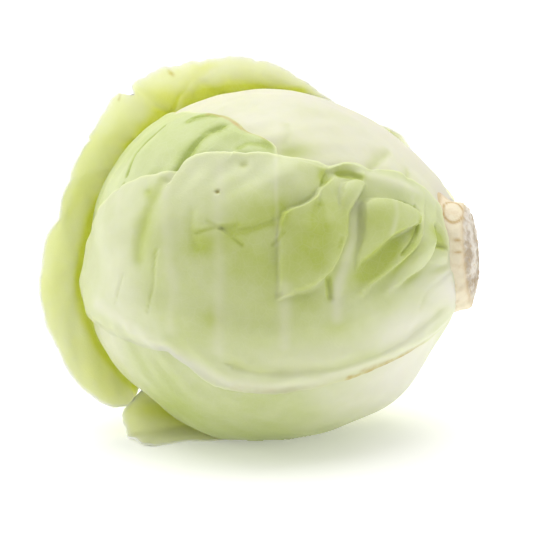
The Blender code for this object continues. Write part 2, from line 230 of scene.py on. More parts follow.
@dataclass(frozen=True)
class Chart:
    """A leaf's own flat chart, laid over the head.

    Args:
        along: The middle's degrees from the stem axis.
        around: The middle's degrees round the stem axis.
    """

    along: float
    around: float

    def axes(self) -> tuple[np.ndarray, np.ndarray, np.ndarray]:
        """Give the unit vectors outward, towards the stem, and across.

        Returns:
            The three unit vectors.
        """
        out = direction(self.along, self.around)
        to_stem = STEM - (STEM @ out) * out
        to_stem /= np.linalg.norm(to_stem)
        return out, to_stem, np.cross(out, to_stem)

    def flatten(self, places: np.ndarray) -> tuple[np.ndarray, np.ndarray]:
        """Give the chart's u and v of unit vectors.

        Args:
            places: The unit vectors, one to a row.

        Returns:
            The places along and across the chart.
        """
        out, to_stem, across = self.axes()
        angle = np.arccos(np.clip(places @ out, -1.0, 1.0))
        turn = np.arctan2(places @ across, places @ to_stem)
        return CHART_RADIUS * angle * np.cos(turn), CHART_RADIUS * angle * np.sin(turn)

    def unroll(self, u: np.ndarray, v: np.ndarray) -> np.ndarray:
        """Give the unit vectors of points on the chart.

        Args:
            u: Places along the chart.
            v: Places across the chart.

        Returns:
            The unit vectors, one to a row.
        """
        out, to_stem, across = self.axes()
        angle, turn = np.hypot(u, v) / CHART_RADIUS, np.arctan2(v, u)
        side = np.outer(np.cos(turn), to_stem) + np.outer(np.sin(turn), across)
        return np.cos(angle)[:, None] * out + np.sin(angle)[:, None] * side


@dataclass(frozen=True)
class Swell:
    """A round-topped bulge of a leaf.

    Args:
        place: The middle's u and v.
        size: Half length and half width.
        turn: Degrees by which the length is turned from u.
        height: How far it stands out.
    """

    place: tuple[float, float]
    size: tuple[float, float]
    turn: float
    height: float

    def lift(self, u: np.ndarray, v: np.ndarray) -> np.ndarray:
        """Give how far the bulge lifts each point.

        Args:
            u: Places along the chart.
            v: Places across the chart.

        Returns:
            The lifts in millimetres.
        """
        turn = math.radians(self.turn)
        du, dv = u - self.place[0], v - self.place[1]
        long_way = (du * math.cos(turn) + dv * math.sin(turn)) / self.size[0]
        cross_way = (dv * math.cos(turn) - du * math.sin(turn)) / self.size[1]
        return self.height * np.exp(-long_way ** 2 - cross_way ** 2)


@dataclass(frozen=True)
class Jut:
    """A broad bulge of the dense head itself, which lifts all the leaves over it.

    Args:
        along: The middle's degrees from the stem axis.
        around: The middle's degrees round the stem axis.
        extent: How many degrees from its middle it reaches.
        height: How far it stands out.
    """

    along: float
    around: float
    extent: float
    height: float

    def lift(self, places: np.ndarray) -> np.ndarray:
        """Give how far the bulge lifts each unit vector's place.

        Args:
            places: The unit vectors, one to a row.

        Returns:
            The lifts in millimetres.
        """
        middle = direction(self.along, self.around)
        away = np.degrees(np.arccos(np.clip(places @ middle, -1.0, 1.0))) / self.extent
        return self.height * np.maximum(1.0 - away ** 2, 0.0) ** 2


@dataclass(frozen=True)
class Crease:
    """A fold line: sharp on one side and easing out on the other.

    Args:
        line: The fold's corners on the chart.
        depth: How deep it is, or how high where it is negative.
        left: How wide it is on the line's left side.
        right: How wide it is on the line's right side.
    """

    line: Points
    depth: float
    left: float = 1.0
    right: float = 3.0

    def drop(self, u: np.ndarray, v: np.ndarray) -> np.ndarray:
        """Give how far the fold sinks each point.

        Args:
            u: Places along the chart.
            v: Places across the chart.

        Returns:
            The drops in millimetres.
        """
        away = side_distance(u, v, self.line)
        width = np.where(away < 0.0, self.left, self.right)
        return self.depth * bell(away / width)


@dataclass(frozen=True)
class Tear:
    """A stretch of a leaf's rim that is torn and browned.

    Args:
        line: The stretch's corners on the chart.
        width: How far the browning reaches.
        strength: How brown it is, from 0 to 1.
    """

    line: Points
    width: float = 1.6
    strength: float = 1.0

    def brown(self, u: np.ndarray, v: np.ndarray) -> np.ndarray:
        """Give how brown each point is."""
        return self.strength * bell(side_distance(u, v, self.line) / self.width)


@dataclass(frozen=True)
class LeafFinish:
    """The finish of a leaf: a waxy skin over green tissue, with pale ribs.

    Args:
        light: The skin's paler colour.
        green: Its greener colour, which also paints the shade in creases, folds and hollows.
        rib: The colour of ribs, veins and the leaf's base.
        edge: The rim's colour.
        brown: The colour of a torn, dried rim.
        roughness: The skin's roughness.
        glow: How much light passes into the tissue.
        depth: How far the light spreads there, in metres.
        net: How strong the net of fine veins is.
        drift: How much the green drifts from place to place.
        mottle: How much the small mottles pale the skin.
        spread: How far red, green and blue light spread, compared with the depth.
    """

    light: Colour
    green: Colour
    rib: Colour
    edge: Colour
    brown: Colour = (0.50, 0.38, 0.14)
    roughness: float = 0.42
    glow: float = 0.35
    depth: float = 0.0042
    net: float = 0.5
    drift: float = 1.1
    mottle: float = 0.16
    spread: Colour = (1.0, 1.15, 0.35)

    def material(self, name: str) -> bpy.types.Material:
        """Make the finish as a material.

        Args:
            name: The material's name.

        Returns:
            The material.
        """
        tree = NodeTree(name)
        chart = tree.add("ShaderNodeUVMap", uv_map="chart").outputs["UV"]
        solid = tree.add("ShaderNodeTexCoord").outputs["Object"]
        cloud = tree.noise(solid, *CLOUD)
        mottle = tree.noise(solid, *MOTTLE)
        net = self._net(tree, chart)

        # The green attribute holds the tissue's own green and painted shade in creases, folds and
        # hollows
        greenness = tree.math("MULTIPLY_ADD", tree.attribute("green"), *GREEN_RANGE)
        drift = tree.math("MULTIPLY_ADD", cloud, self.drift, -self.drift / 2.0)
        greenness = tree.math("ADD", greenness, drift, clamp=True)
        skin = tree.mix(greenness, self.light, self.green)
        skin = tree.mix(tree.math("MULTIPLY", mottle, self.mottle), skin, self.rib)
        net_share = tree.math("MULTIPLY", net, NET_TINT * self.net)
        veins = tree.math("MAXIMUM", tree.attribute("rib"), net_share)
        skin = tree.mix(veins, skin, self.rib)
        skin = tree.mix(tree.attribute("edge"), skin, self.edge)
        torn = tree.math("MULTIPLY_ADD", mottle, *TORN_RANGE, clamp=True)
        torn = tree.math("MULTIPLY", torn, tree.attribute("brown"))
        torn = tree.math("MULTIPLY", torn, TORN_STRENGTH, clamp=True)
        skin = tree.mix(torn, skin, self.brown)

        grain = tree.noise(solid, *GRAIN)
        height = tree.math("MULTIPLY", net, NET_HEIGHT * self.net)
        height = tree.math("MULTIPLY_ADD", grain, GRAIN_HEIGHT, height)
        height = tree.math("MULTIPLY_ADD", mottle, MOTTLE_HEIGHT, height)
        bump = tree.add("ShaderNodeBump")
        bump.inputs["Strength"].default_value = 0.35
        bump.inputs["Distance"].default_value = 0.0006
        tree.link(height, bump.inputs["Height"])

        shader = tree.shader
        tree.link(skin, shader.inputs["Base Color"])
        tree.link(bump.outputs["Normal"], shader.inputs["Normal"])
        rough = tree.math("MULTIPLY_ADD", mottle, ROUGH_DRIFT, self.roughness - ROUGH_DRIFT / 2.0)
        tree.link(rough, shader.inputs["Roughness"])
        shader.inputs["Specular IOR Level"].default_value = 0.42
        shader.inputs["Subsurface Weight"].default_value = self.glow
        shader.inputs["Subsurface Radius"].default_value = self.spread
        shader.inputs["Subsurface Scale"].default_value = self.depth
        return tree.material

    def _net(self, tree: "NodeTree", chart: bpy.types.NodeSocket) -> bpy.types.NodeSocket:
        """Draw the net of fine veins, 1 on a vein and 0 between them.

        Args:
            tree: The material's nodes.
            chart: The socket with the chart's places.

        Returns:
            The socket with the net's strength.
        """
        size, detail, amount = NET_WARP
        warp = tree.add("ShaderNodeTexNoise")
        warp.inputs["Scale"].default_value = size
        warp.inputs["Detail"].default_value = detail
        tree.link(chart, warp.inputs["Vector"])
        shift = tree.add("ShaderNodeVectorMath", operation="SCALE")
        shift.inputs["Scale"].default_value = amount
        tree.link(warp.outputs["Color"], shift.inputs[0])
        place = tree.add("ShaderNodeVectorMath", operation="ADD")
        tree.link(chart, place.inputs[0])
        tree.link(shift.outputs["Vector"], place.inputs[1])
        total = None
        for scale, width, strength in NET_LAYERS:
            cells = tree.add("ShaderNodeTexVoronoi", feature="DISTANCE_TO_EDGE")
            cells.voronoi_dimensions = "2D"
            cells.inputs["Scale"].default_value = scale
            tree.link(place.outputs["Vector"], cells.inputs["Vector"])
            line = tree.ramp(cells.outputs["Distance"], width, 0.0, 0.0, strength)
            total = line if total is None else tree.math("MAXIMUM", total, line)
        return total


class NodeTree:
    """A short way to write a material's nodes."""

    def __init__(self, name: str) -> None:
        """Start a material with its Principled shader.

        Args:
            name: The material's name.
        """
        self.material = bpy.data.materials.new(name)
        self.material.use_nodes = True
        self.nodes = self.material.node_tree.nodes
        self.shader = self.nodes["Principled BSDF"]

    def add(self, kind: str, **settings: object) -> bpy.types.Node:
        """Add a node and set its options.

        Args:
            kind: The node's type.
            settings: Its options by name.

        Returns:
            The new node.
        """
        node = self.nodes.new(kind)
        for key, value in settings.items():
            setattr(node, key, value)
        return node

    def link(self, source: bpy.types.NodeSocket, target: bpy.types.NodeSocket) -> None:
        """Join two sockets."""
        self.material.node_tree.links.new(source, target)

    def feed(self, value: object, socket: bpy.types.NodeSocket) -> None:
        """Give a socket a colour, a number or another socket's value.

        Args:
            value: A colour, a number or a socket.
            socket: The socket that takes it.
        """
        if isinstance(value, bpy.types.NodeSocket):
            self.link(value, socket)
        elif isinstance(value, tuple):
            socket.default_value = (*value, 1.0)
        else:
            socket.default_value = value

    def attribute(self, name: str) -> bpy.types.NodeSocket:
        """Read a value that the mesh carries."""
        return self.add("ShaderNodeAttribute", attribute_name=name).outputs["Fac"]

    def noise(
        self, place: bpy.types.NodeSocket, scale: float, detail: float, rough: float,
    ) -> bpy.types.NodeSocket:
        """Make a cloudy pattern from 0 to 1.

        Args:
            place: The socket with the places.
            scale: How small the clouds are.
            detail: How many finer layers they have.
            rough: How strong those are.

        Returns:
            The socket with the pattern.
        """
        node = self.add("ShaderNodeTexNoise")
        node.inputs["Scale"].default_value = scale
        node.inputs["Detail"].default_value = detail
        node.inputs["Roughness"].default_value = rough
        self.link(place, node.inputs["Vector"])
        return node.outputs["Fac"]

    def math(
        self, operation: str, first: object, second: object = 0.0, third: object = 0.0,
        clamp: bool = False,
    ) -> bpy.types.NodeSocket:
        """Work out a number.

        Args:
            operation: The sum to do.
            first: The first number or socket.
            second: The second one.
            third: The third one.
            clamp: Whether the result is kept from 0 to 1.

        Returns:
            The socket with the result.
        """
        node = self.add("ShaderNodeMath", operation=operation, use_clamp=clamp)
        for value, socket in zip((first, second, third), node.inputs):
            self.feed(value, socket)
        return node.outputs["Value"]

    def mix(self, share: object, first: object, second: object) -> bpy.types.NodeSocket:
        """Blend two colours.

        Args:
            share: How much of the second colour is in the blend.
            first: The first colour or socket.
            second: The second one.

        Returns:
            The socket with the blend.
        """
        node = self.add("ShaderNodeMix", data_type="RGBA")
        for name, value in (("Factor", share), ("A", first), ("B", second)):
            self.feed(value, node.inputs[name])
        return node.outputs["Result"]

    def ramp(
        self, value: object, low: float, high: float, at_low: float, at_high: float,
    ) -> bpy.types.NodeSocket:
        """Map a stretch of numbers smoothly onto another.

        Args:
            value: The number or socket that is mapped.
            low: The start of its stretch.
            high: The end of its stretch.
            at_low: What the start becomes.
            at_high: What the end becomes.

        Returns:
            The socket with the result.
        """
        node = self.add("ShaderNodeMapRange", interpolation_type="SMOOTHSTEP")
        for number, socket in zip((value, low, high, at_low, at_high), node.inputs):
            self.feed(number, socket)
        return node.outputs["Result"]


def square_to_disc(x: np.ndarray, y: np.ndarray) -> tuple[np.ndarray, np.ndarray]:
    """Map a square of half side 1 onto a disc of radius 1."""
    return x * np.sqrt(1.0 - y * y / 2.0), y * np.sqrt(1.0 - x * x / 2.0)


def flattened(places: np.ndarray, radius: np.ndarray, height: np.ndarray) -> np.ndarray:
    """Keep a surface above a height, as the head's weight presses it flat.

    Args:
        places: Unit vectors of the surface's points.
        radius: The points' distances from the head's centre.
        height: The least height of each point.

    Returns:
        The distances after pressing.
    """
    down = np.maximum(-places[:, 2], LEAST)
    return np.minimum(radius, (HEAD_CENTRE[2] - height) / down)


def set_attributes(mesh: bpy.types.Mesh, chart_layer: str) -> None:
    """Give a mesh a UV map from the chart places that its points carry.

    Args:
        mesh: The mesh.
        chart_layer: The name of the point attribute with the places.
    """
    places = np.empty(len(mesh.vertices) * 3, dtype=np.float32)
    mesh.attributes[chart_layer].data.foreach_get("vector", places)
    corners = np.empty(len(mesh.loops), dtype=np.int32)
    mesh.loops.foreach_get("vertex_index", corners)
    uv_map = mesh.uv_layers.new(name="chart")
    uv_map.data.foreach_set("uv", places.reshape(-1, 3)[corners, :2].ravel())


def make_piece(
    name: str, bm: bmesh.types.BMesh, material: bpy.types.Material,
    nodes: tuple[str, ...] = (),
) -> bpy.types.Object:
    """Write a millimetre bmesh as a piece of the cabbage, in metres.

    Args:
        name: The piece's name.
        bm: The shape, which is freed.
        material: Its material.
        nodes: The CAD nodes that the piece stands for.

    Returns:
        The new object.
    """
    bmesh.ops.scale(bm, vec=(MM, MM, MM), verts=bm.verts)
    bmesh.ops.recalc_face_normals(bm, faces=bm.faces)
    mesh = bpy.data.meshes.new(name)
    bm.to_mesh(mesh)
    bm.free()
    mesh.shade_smooth()
    mesh.materials.append(material)
    piece = bpy.data.objects.new(name, mesh)
    bpy.context.collection.objects.link(piece)
    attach(piece, "root")
    if nodes:
        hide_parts(*nodes)
    LOG.info("%s: %d faces", name, len(mesh.polygons))
    return piece


class Hold(Enum):
    """How a leaf lies on the head."""

    HUGGING = "hugging"
    LOOSE = "loose"


@dataclass(frozen=True)
class Vein:
    """A vein or rib that shows on the leaf's face.

    Args:
        line: The vein's corners on the chart.
        width: Its half width.
        pale: How pale it is, from 0 to 1.
        height: How far it stands out.
    """

    line: Points
    width: float = 1.0
    pale: float = 0.6
    height: float = 0.0

    def strength(self, u: np.ndarray, v: np.ndarray) -> np.ndarray:
        """Give 1 on the vein, falling to nothing beside it."""
        return bell(side_distance(u, v, self.line) / self.width)


@dataclass(frozen=True)
class Cliff:
    """A bulge with one or more sides that end sharply, as where tissue overhangs a vein.

    Args:
        swell: The bulge.
        lines: The sharp sides, each with the bulge on its left.
        ledge: How wide the drop at a side is.
    """

    swell: Swell
    lines: tuple[Points, ...]
    ledge: float = 1.0

    def lift(self, u: np.ndarray, v: np.ndarray) -> np.ndarray:
        """Give how far the bulge lifts each point.

        Args:
            u: Places along the chart.
            v: Places across the chart.

        Returns:
            The lifts in millimetres.
        """
        lift = self.swell.lift(u, v)
        for line in self.lines:
            away = side_distance(u, v, line)
            lift = lift * smooth_step(0.5 - away / (2.0 * self.ledge))
        return lift


@dataclass
class Leaf:
    """One leaf: its place, its outline as places on the head, its body and its relief.

    Args:
        piece: The name of the piece.
        node: The CAD node that it stands for.
        slot: The record's material slot, which is not used.
        chart: The leaf's chart.
        outline: The rim's places on the head.
        cells: How many cells the leaf's grid has each way.
        finish: The leaf's finish.
        hold: How the leaf lies on the head.
        dense: Towards which side the grid's cells are closer together.
        thickness: The leaf's thickness.
        rim: The rim's thickness.
        base_extra: How much thicker the leaf is at its base.
        gap: The air under the leaf.
        rest: The height that the leaf's outer face is pressed flat at.
        rim_fade: How far inside the rim the relief begins.
        ruffle: How deep the rim of a loose leaf waves.
        nicks: Turn, half width and depth of each nick in the rim.
        soft: Where the rim lies tightly and thinly on what is under it.
        midrib: The midrib's corners on the chart.
        midrib_height: How far it stands out.
        midrib_width: Its half width.
        bulges: The pillows between the veins.
        creases: The folds, each also painted greener as shade by its depth.
        veins: The veins that show on the face.
        ripple: How high the ribs beside the midrib stand.
        ripple_length: How far apart they are.
        unevenness: How uneven the leaf is all over.
        ragged: How uneven the rim's line is.
        stand: How far a loose leaf's rim stands off at each turn of the chart.
        stand_from: The share of the reach where it begins to stand off.
        stand_power: How late the leaf flares.
        green_level: How green the leaf is all over.
        greens_and_shade: The greener patches: the tissue's own green, and painted shade in
            hollows, valleys and dents.
        shade_lines: The greener lines, painted shade along folds and where a leaf meets the head.
        pales: The paler patches.
        tears: The torn and browned stretches of the rim.
        table: The rim's turns and reaches, worked out from the outline.
    """

    piece: str
    node: str
    slot: str
    chart: Chart
    outline: Points
    cells: tuple[int, int]
    finish: LeafFinish
    hold: Hold = Hold.HUGGING
    dense: tuple[float, float] = (0.0, 0.0)
    thickness: float = 1.3
    rim: float = 0.8
    base_extra: float = 0.8
    gap: float = 0.8
    rest: float = 4.5
    rim_fade: float = RIM_WIDTH
    ruffle: float = 0.0
    nicks: tuple[tuple[float, float, float], ...] = ()
    soft: tuple[Swell, ...] = ()
    midrib: Points = ()
    midrib_height: float = 0.0
    midrib_width: float = 6.0
    bulges: tuple[Swell | Cliff, ...] = ()
    creases: tuple[Crease, ...] = ()
    veins: tuple[Vein, ...] = ()
    ripple: float = 0.0
    ripple_length: float = 17.0
    unevenness: float = 0.12
    ragged: float = 0.3
    stand: Points = ()
    stand_from: float = 0.5
    stand_power: float = 2.2
    green_level: float = 0.3
    greens_and_shade: tuple[Swell, ...] = ()
    shade_lines: tuple[Vein, ...] = ()
    pales: tuple[Swell, ...] = ()
    tears: tuple[Tear, ...] = ()
    table: tuple[np.ndarray, np.ndarray] = field(init=False)

    def __post_init__(self) -> None:
        """Turn the outline into a table of turn and reach."""
        u, v = self.chart.flatten(np.array([direction(*place) for place in self.outline]))
        turns = np.arctan2(v, u)
        order = np.argsort(turns)
        self.table = (turns[order], np.hypot(u, v)[order])

    def reach(self, turn: np.ndarray) -> np.ndarray:
        """Give how far the outline is from the chart's middle at each turn.

        Args:
            turn: Turns on the chart, in radians.

        Returns:
            The reaches in millimetres.
        """
        total = np.zeros_like(turn)
        spread = math.radians(ROUNDING)
        for offset, weight in ((-1.0, 0.25), (0.0, 0.5), (1.0, 0.25)):
            at = turn + offset * spread
            total += weight * np.interp(at, self.table[0], self.table[1], period=math.tau)
        return total

    def ragged_reach(self, turn: np.ndarray) -> np.ndarray:
        """Give the reach with the small unevenness of a real rim.

        Args:
            turn: Turns on the chart, in radians.

        Returns:
            The reaches in millimetres.
        """
        reach = self.reach(turn)
        ring = RIM_RING * np.cos(turn), RIM_RING * np.sin(turn)
        small = sum(share * waves.at(*ring) for waves, share in RIM_WAVES)
        return reach - self.ragged * (0.5 + 0.5 * small)

    def nick(self, turn: np.ndarray) -> np.ndarray:
        """Give how deep the nicks of the rim are at each turn.

        Args:
            turn: Turns on the chart, in radians.

        Returns:
            The depths in millimetres.
        """
        cut = np.zeros_like(turn)
        for middle, half, depth in self.nicks:
            away = np.abs(np.degrees(turn) - middle) / half
            cut += depth * smooth_step(1.0 - away)
        return cut

    def body(self, u: np.ndarray, v: np.ndarray) -> np.ndarray:
        """Give the leaf's thickness away from the rim, with its midrib.

        Args:
            u: Places along the chart.
            v: Places across the chart.

        Returns:
            The thicknesses in millimetres.
        """
        thickness = self.thickness + self.base_extra * smooth_step((u - BASE_START) / BASE_BAND)
        if self.midrib:
            away = side_distance(u, v, self.midrib) / self.midrib_width
            growth = smooth_step((u - MIDRIB_START) / MIDRIB_BAND)
            share = MIDRIB_TIP + (1.0 - MIDRIB_TIP) * growth
            thickness = thickness + self.midrib_height * share * bell(away)
        return thickness

    def relief(self, u: np.ndarray, v: np.ndarray) -> np.ndarray:
        """Give how far the leaf is puckered outward, the same on both its faces.

        Args:
            u: Places along the chart.
            v: Places across the chart.

        Returns:
            The lifts in millimetres.
        """
        lift = np.zeros_like(u)
        for bulge in self.bulges:
            lift += bulge.lift(u, v)
        if self.ripple:
            branch = u + SIDE_RIB_SLOPE * np.abs(v) + SIDE_RIB_BEND * v * v
            from_midrib = smooth_step(np.abs(v) / SIDE_RIB_START)
            wave = np.sin(math.pi * branch / self.ripple_length) ** 2
            lift += self.ripple * from_midrib * wave
        for crease in self.creases:
            lift -= crease.drop(u, v)
        for vein in self.veins:
            if vein.height:
                lift += vein.height * vein.strength(u, v)
        lift += self.unevenness * SKIN_WAVES.at(u, v)
        inside = self.reach(np.arctan2(v, u)) - np.hypot(u, v)
        return lift * smooth_step(inside / self.rim_fade)

    def rise(self, places: np.ndarray) -> np.ndarray:
        """Give how much this leaf raises what lies over it.

        Args:
            places: The unit vectors, one to a row.

        Returns:
            The rises in millimetres.
        """
        u, v = self.chart.flatten(places)
        outside = np.hypot(u, v) - self.reach(np.arctan2(v, u)) - COVER_MARGIN
        cover = 1.0 - smooth_step(outside / COVER_BAND)
        return (self.gap + self.body(u, v) + self.relief(u, v)) * cover

    def stand_off(self, u: np.ndarray, v: np.ndarray) -> np.ndarray:
        """Give how far a loose leaf stands off what it wraps.

        Args:
            u: Places along the chart.
            v: Places across the chart.

        Returns:
            The distances in millimetres.
        """
        if not self.stand:
            return np.zeros_like(u)
        turn = np.arctan2(v, u)
        share = np.hypot(u, v) / self.reach(turn)
        turns, heights = zip(*((math.radians(a), h) for a, h in self.stand))
        most = np.interp(turn, turns, heights, period=math.tau)
        flare = np.clip((share - self.stand_from) / (1.0 - self.stand_from), 0.0, 1.0)
        return most * flare ** self.stand_power

    def softness(self, u: np.ndarray, v: np.ndarray, inside: np.ndarray) -> np.ndarray:
        """Give how tightly and thinly the rim lies on what is under it, from 0 to 1.

        Args:
            u: Places along the chart.
            v: Places across the chart.
            inside: Each point's distance from the rim.

        Returns:
            The softness of each point.
        """
        soft = np.zeros_like(u)
        for patch in self.soft:
            soft = np.maximum(soft, patch.lift(u, v))
        return np.minimum(soft, 1.0) * bell(inside / SOFT_WIDTH)

    def flutter(self, turn: np.ndarray, share: np.ndarray) -> np.ndarray:
        """Give how far a loose leaf's ruffled rim dips towards the head."""
        ring = RIM_RING * np.cos(turn), RIM_RING * np.sin(turn)
        return self.ruffle * (0.5 - 0.5 * RUFFLE_WAVES.at(*ring)) * share ** RUFFLE_POWER

    def paint(self, u: np.ndarray, v: np.ndarray, inside: np.ndarray) -> dict[str, np.ndarray]:
        """Work out what the finish reads at each point.

        Args:
            u: Places along the chart.
            v: Places across the chart.
            inside: Each point's distance from the rim.

        Returns:
            The values of each named attribute.
        """
        pale = np.zeros_like(u)
        for vein in self.veins:
            pale = np.maximum(pale, vein.pale * vein.strength(u, v))
        if self.midrib:
            away = side_distance(u, v, self.midrib) / self.midrib_width
            pale = np.maximum(pale, MIDRIB_PALE * bell(away))
        for patch in self.pales:
            pale = np.maximum(pale, patch.lift(u, v))
        green = np.full_like(u, self.green_level)
        # Greener patches: the tissue's own green, and painted shade in hollows, valleys and dents
        for patch in self.greens_and_shade:
            green += patch.lift(u, v)
        # Greener lines: painted shade along folds and where a leaf meets the head
        for line in self.shade_lines:
            green += line.pale * line.strength(u, v)
        # Painted shade: each crease is painted greener by its depth
        for crease in self.creases:
            if crease.depth > 0.0:
                green += CREASE_SHADE * crease.drop(u, v)
        brown = np.zeros_like(u)
        for tear in self.tears:
            brown = np.maximum(brown, tear.brown(u, v))
        firm = 1.0 - self.softness(u, v, inside)
        edge = bell(inside / EDGE_WIDTH) * (1.0 - brown) * firm
        return {"rib": pale, "green": green, "edge": edge, "brown": brown}

    def build(self, wrapping: "Wrapping") -> bpy.types.Object:
        """Make the leaf as a closed sheet over what lies under it.

        Args:
            wrapping: The head with all its leaves.

        Returns:
            The leaf's piece.
        """
        bm = bmesh.new()
        bmesh.ops.create_grid(
            bm, x_segments=self.cells[0], y_segments=self.cells[1], size=1.0,
        )
        square = np.array([vert.co for vert in bm.verts])
        square = square[:, :2] + np.array(self.dense) * (1.0 - square[:, :2] ** 2)
        disc_x, disc_y = square_to_disc(square[:, 0], square[:, 1])
        turn = np.arctan2(disc_y, disc_x)
        share = np.minimum(np.hypot(disc_x, disc_y), 1.0)
        reach = self.ragged_reach(turn)
        inside = (1.0 - share) * reach
        away = share * reach - self.nick(turn) * share ** NICK_POWER
        u, v = away * np.cos(turn), away * np.sin(turn)
        full = smooth_step(inside / RIM_WIDTH)
        soft = self.softness(u, v, inside)
        body = self.rim + (self.body(u, v) - self.rim) * full - (self.rim - SOFT_RIM) * soft
        places = self.chart.unroll(u, v)
        radius = wrapping.radius(places, self) + self.gap * (1.0 - 0.95 * soft)
        radius += self.relief(u, v) + self.stand_off(u, v) - self.flutter(turn, share)
        radius = flattened(places, radius, self.rest + body)
        for vert, place in zip(bm.verts, HEAD_CENTRE + radius[:, None] * places):
            vert.co = place
        self._carry(bm, u, v, inside)
        self._thicken(bm, body, places)
        piece = make_piece(
            self.piece, bm, self.finish.material(self.piece), (self.node,),
        )
        set_attributes(piece.data, "place")
        return piece

    def _carry(
        self, bm: bmesh.types.BMesh, u: np.ndarray, v: np.ndarray, inside: np.ndarray,
    ) -> None:
        """Store the chart places and the painted values on the mesh's points.

        Args:
            bm: The sheet.
            u: Places along the chart.
            v: Places across the chart.
            inside: Each point's distance from the rim.
        """
        place_layer = bm.verts.layers.float_vector.new("place")
        for vert, pair in zip(bm.verts, np.column_stack((u, v)) / CHART_UV):
            vert[place_layer] = (*pair, 0.0)
        for name, values in self.paint(u, v, inside).items():
            layer = bm.verts.layers.float.new(name)
            for vert, value in zip(bm.verts, values.tolist()):
                vert[layer] = value

    def _thicken(self, bm: bmesh.types.BMesh, body: np.ndarray, places: np.ndarray) -> None:
        """Give the sheet its other face, and press it on what it rests on.

        Args:
            bm: The sheet.
            body: The leaf's thickness at each point.
            places: The points' unit vectors, one to a row.
        """
        bm.normal_update()
        outward = bm.verts.layers.float_vector.new("outward")
        for vert, thickness, place in zip(bm.verts, body.tolist(), places):
            way = Vector(place) if self.hold is Hold.HUGGING else vert.normal
            vert[outward] = way * thickness
        result = bmesh.ops.extrude_face_region(bm, geom=list(bm.faces), use_keep_orig=True)
        green = bm.verts.layers.float["green"]
        for vert in result["geom"]:
            if isinstance(vert, bmesh.types.BMVert):
                vert.co += vert[outward]
                # The outer face takes a share of the inner face's green, painted shade included
                if self.hold is Hold.LOOSE:
                    vert[green] = OUTSIDE_GREEN + INSIDE_SHARE * vert[green]
                if vert.co.z < self.rest + PRESSED:
                    vert.co.z = self.rest
        bm.verts.layers.float_vector.remove(outward)


@dataclass
class Wrapping:
    """The dense head and the leaves that wrap it, from the innermost out.

    Args:
        hugging: The leaves that lie on the head.
        loose: The leaves that stand off it.
        head: The dense head's radius.
        crown_drop: How much flatter its crown is.
        crown_start: How many degrees from the stem axis the crown begins.
        crown_band: Over how many degrees it flattens.
        neck_rise: How far it draws out towards the stalk.
        neck_angle: How many degrees from the stem axis that reaches.
        collar_rise: How far the leaf bases round the stalk stand out.
        collar_angle: How many degrees from the stem axis they reach.
        juts: The head's broad bulges.
    """

    hugging: tuple[Leaf, ...]
    loose: tuple[Leaf, ...]
    head: float = 71.0
    crown_drop: float = 2.5
    crown_start: float = 110.0
    crown_band: float = 60.0
    neck_rise: float = 14.0
    neck_angle: float = 28.0
    collar_rise: float = 7.0
    collar_angle: float = 14.0
    juts: tuple[Jut, ...] = (
        Jut(159, 140, 38, 5.4), Jut(60, 171, 45, 3.5), Jut(46, 175, 22, 3.5),
        Jut(112, 163, 28, 3.0),
    )

    def head_radius(self, places: np.ndarray) -> np.ndarray:
        """Give the dense head's radius before its weight flattens it.

        Args:
            places: The unit vectors, one to a row.

        Returns:
            The radii in millimetres.
        """
        along = np.degrees(np.arccos(np.clip(places @ STEM, -1.0, 1.0)))
        neck = self.neck_rise * np.exp(-(along / self.neck_angle) ** 1.3)
        collar = self.collar_rise * np.exp(-(along / self.collar_angle) ** 2)
        crown = self.crown_drop * smooth_step((along - self.crown_start) / self.crown_band)
        return self.head + neck + collar - crown + sum(jut.lift(places) for jut in self.juts)

    def radius(self, places: np.ndarray, leaf: Leaf) -> np.ndarray:
        """Give the radius of what lies under a leaf.

        Args:
            places: The unit vectors, one to a row.
            leaf: The leaf.

        Returns:
            The radii in millimetres.
        """
        under = self.hugging
        if leaf.hold is Hold.HUGGING:
            under = self.hugging[:self.hugging.index(leaf)]
        radius = self.head_radius(places)
        for lower in under:
            radius = radius + lower.rise(places)
        return radius

    def build(self) -> None:
        """Make every leaf, and dress the dense head."""
        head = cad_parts["head"]
        head.material_slots[0].material = PALE_HEART.material("heart")
        for leaf in self.hugging + self.loose:
            leaf.build(self)


PALE_HEART = LeafFinish(
    light=(0.72, 0.76, 0.52), green=(0.50, 0.58, 0.24), rib=(0.80, 0.80, 0.66),
    edge=(0.74, 0.77, 0.55), net=0.0,
)
WRAPPER = LeafFinish(
    light=(0.62, 0.69, 0.36), green=(0.36, 0.45, 0.07), rib=(0.76, 0.79, 0.58),
    edge=(0.70, 0.74, 0.42), net=0.35,
)
UNDER = LeafFinish(
    light=(0.66, 0.69, 0.45), green=(0.42, 0.50, 0.12), rib=(0.80, 0.79, 0.66),
    edge=(0.66, 0.66, 0.46), net=0.25,
)
BLANCHED = LeafFinish(
    light=(0.70, 0.70, 0.50), green=(0.50, 0.57, 0.17), rib=(0.74, 0.70, 0.60),
    edge=(0.76, 0.74, 0.58), net=0.12,
)
PUCKERED = LeafFinish(
    light=(0.62, 0.67, 0.38), green=(0.40, 0.48, 0.06), rib=(0.76, 0.75, 0.61),
    edge=(0.72, 0.77, 0.44), net=0.3,
)
OUTER = LeafFinish(
    light=(0.83, 0.86, 0.62), green=(0.70, 0.74, 0.20), rib=(0.86, 0.87, 0.64),
    edge=(0.86, 0.88, 0.72), net=0.5, glow=0.9, depth=0.005, spread=(1.0, 1.08, 0.6),
)

BACK_LEAF = Leaf(
    piece="back_leaf",
    node="leaf_back",
    slot="wrapper_leaf",
    chart=Chart(88, 268),
    outline=(
        (15, 215), (15, 245), (15, 268), (15, 292), (15, 320), (30, 335), (60, 335),
        (95, 338), (130, 345), (155, 350), (168, 300), (164, 240), (150, 205), (120, 198),
        (85, 200), (50, 200), (25, 200),
    ),
    cells=(110, 96),
    finish=WRAPPER,
    midrib=((94, 0), (40, 2), (-40, -3), (-80, 0)),
    midrib_height=1.0,
    midrib_width=7.0,
    ripple=0.8,
)

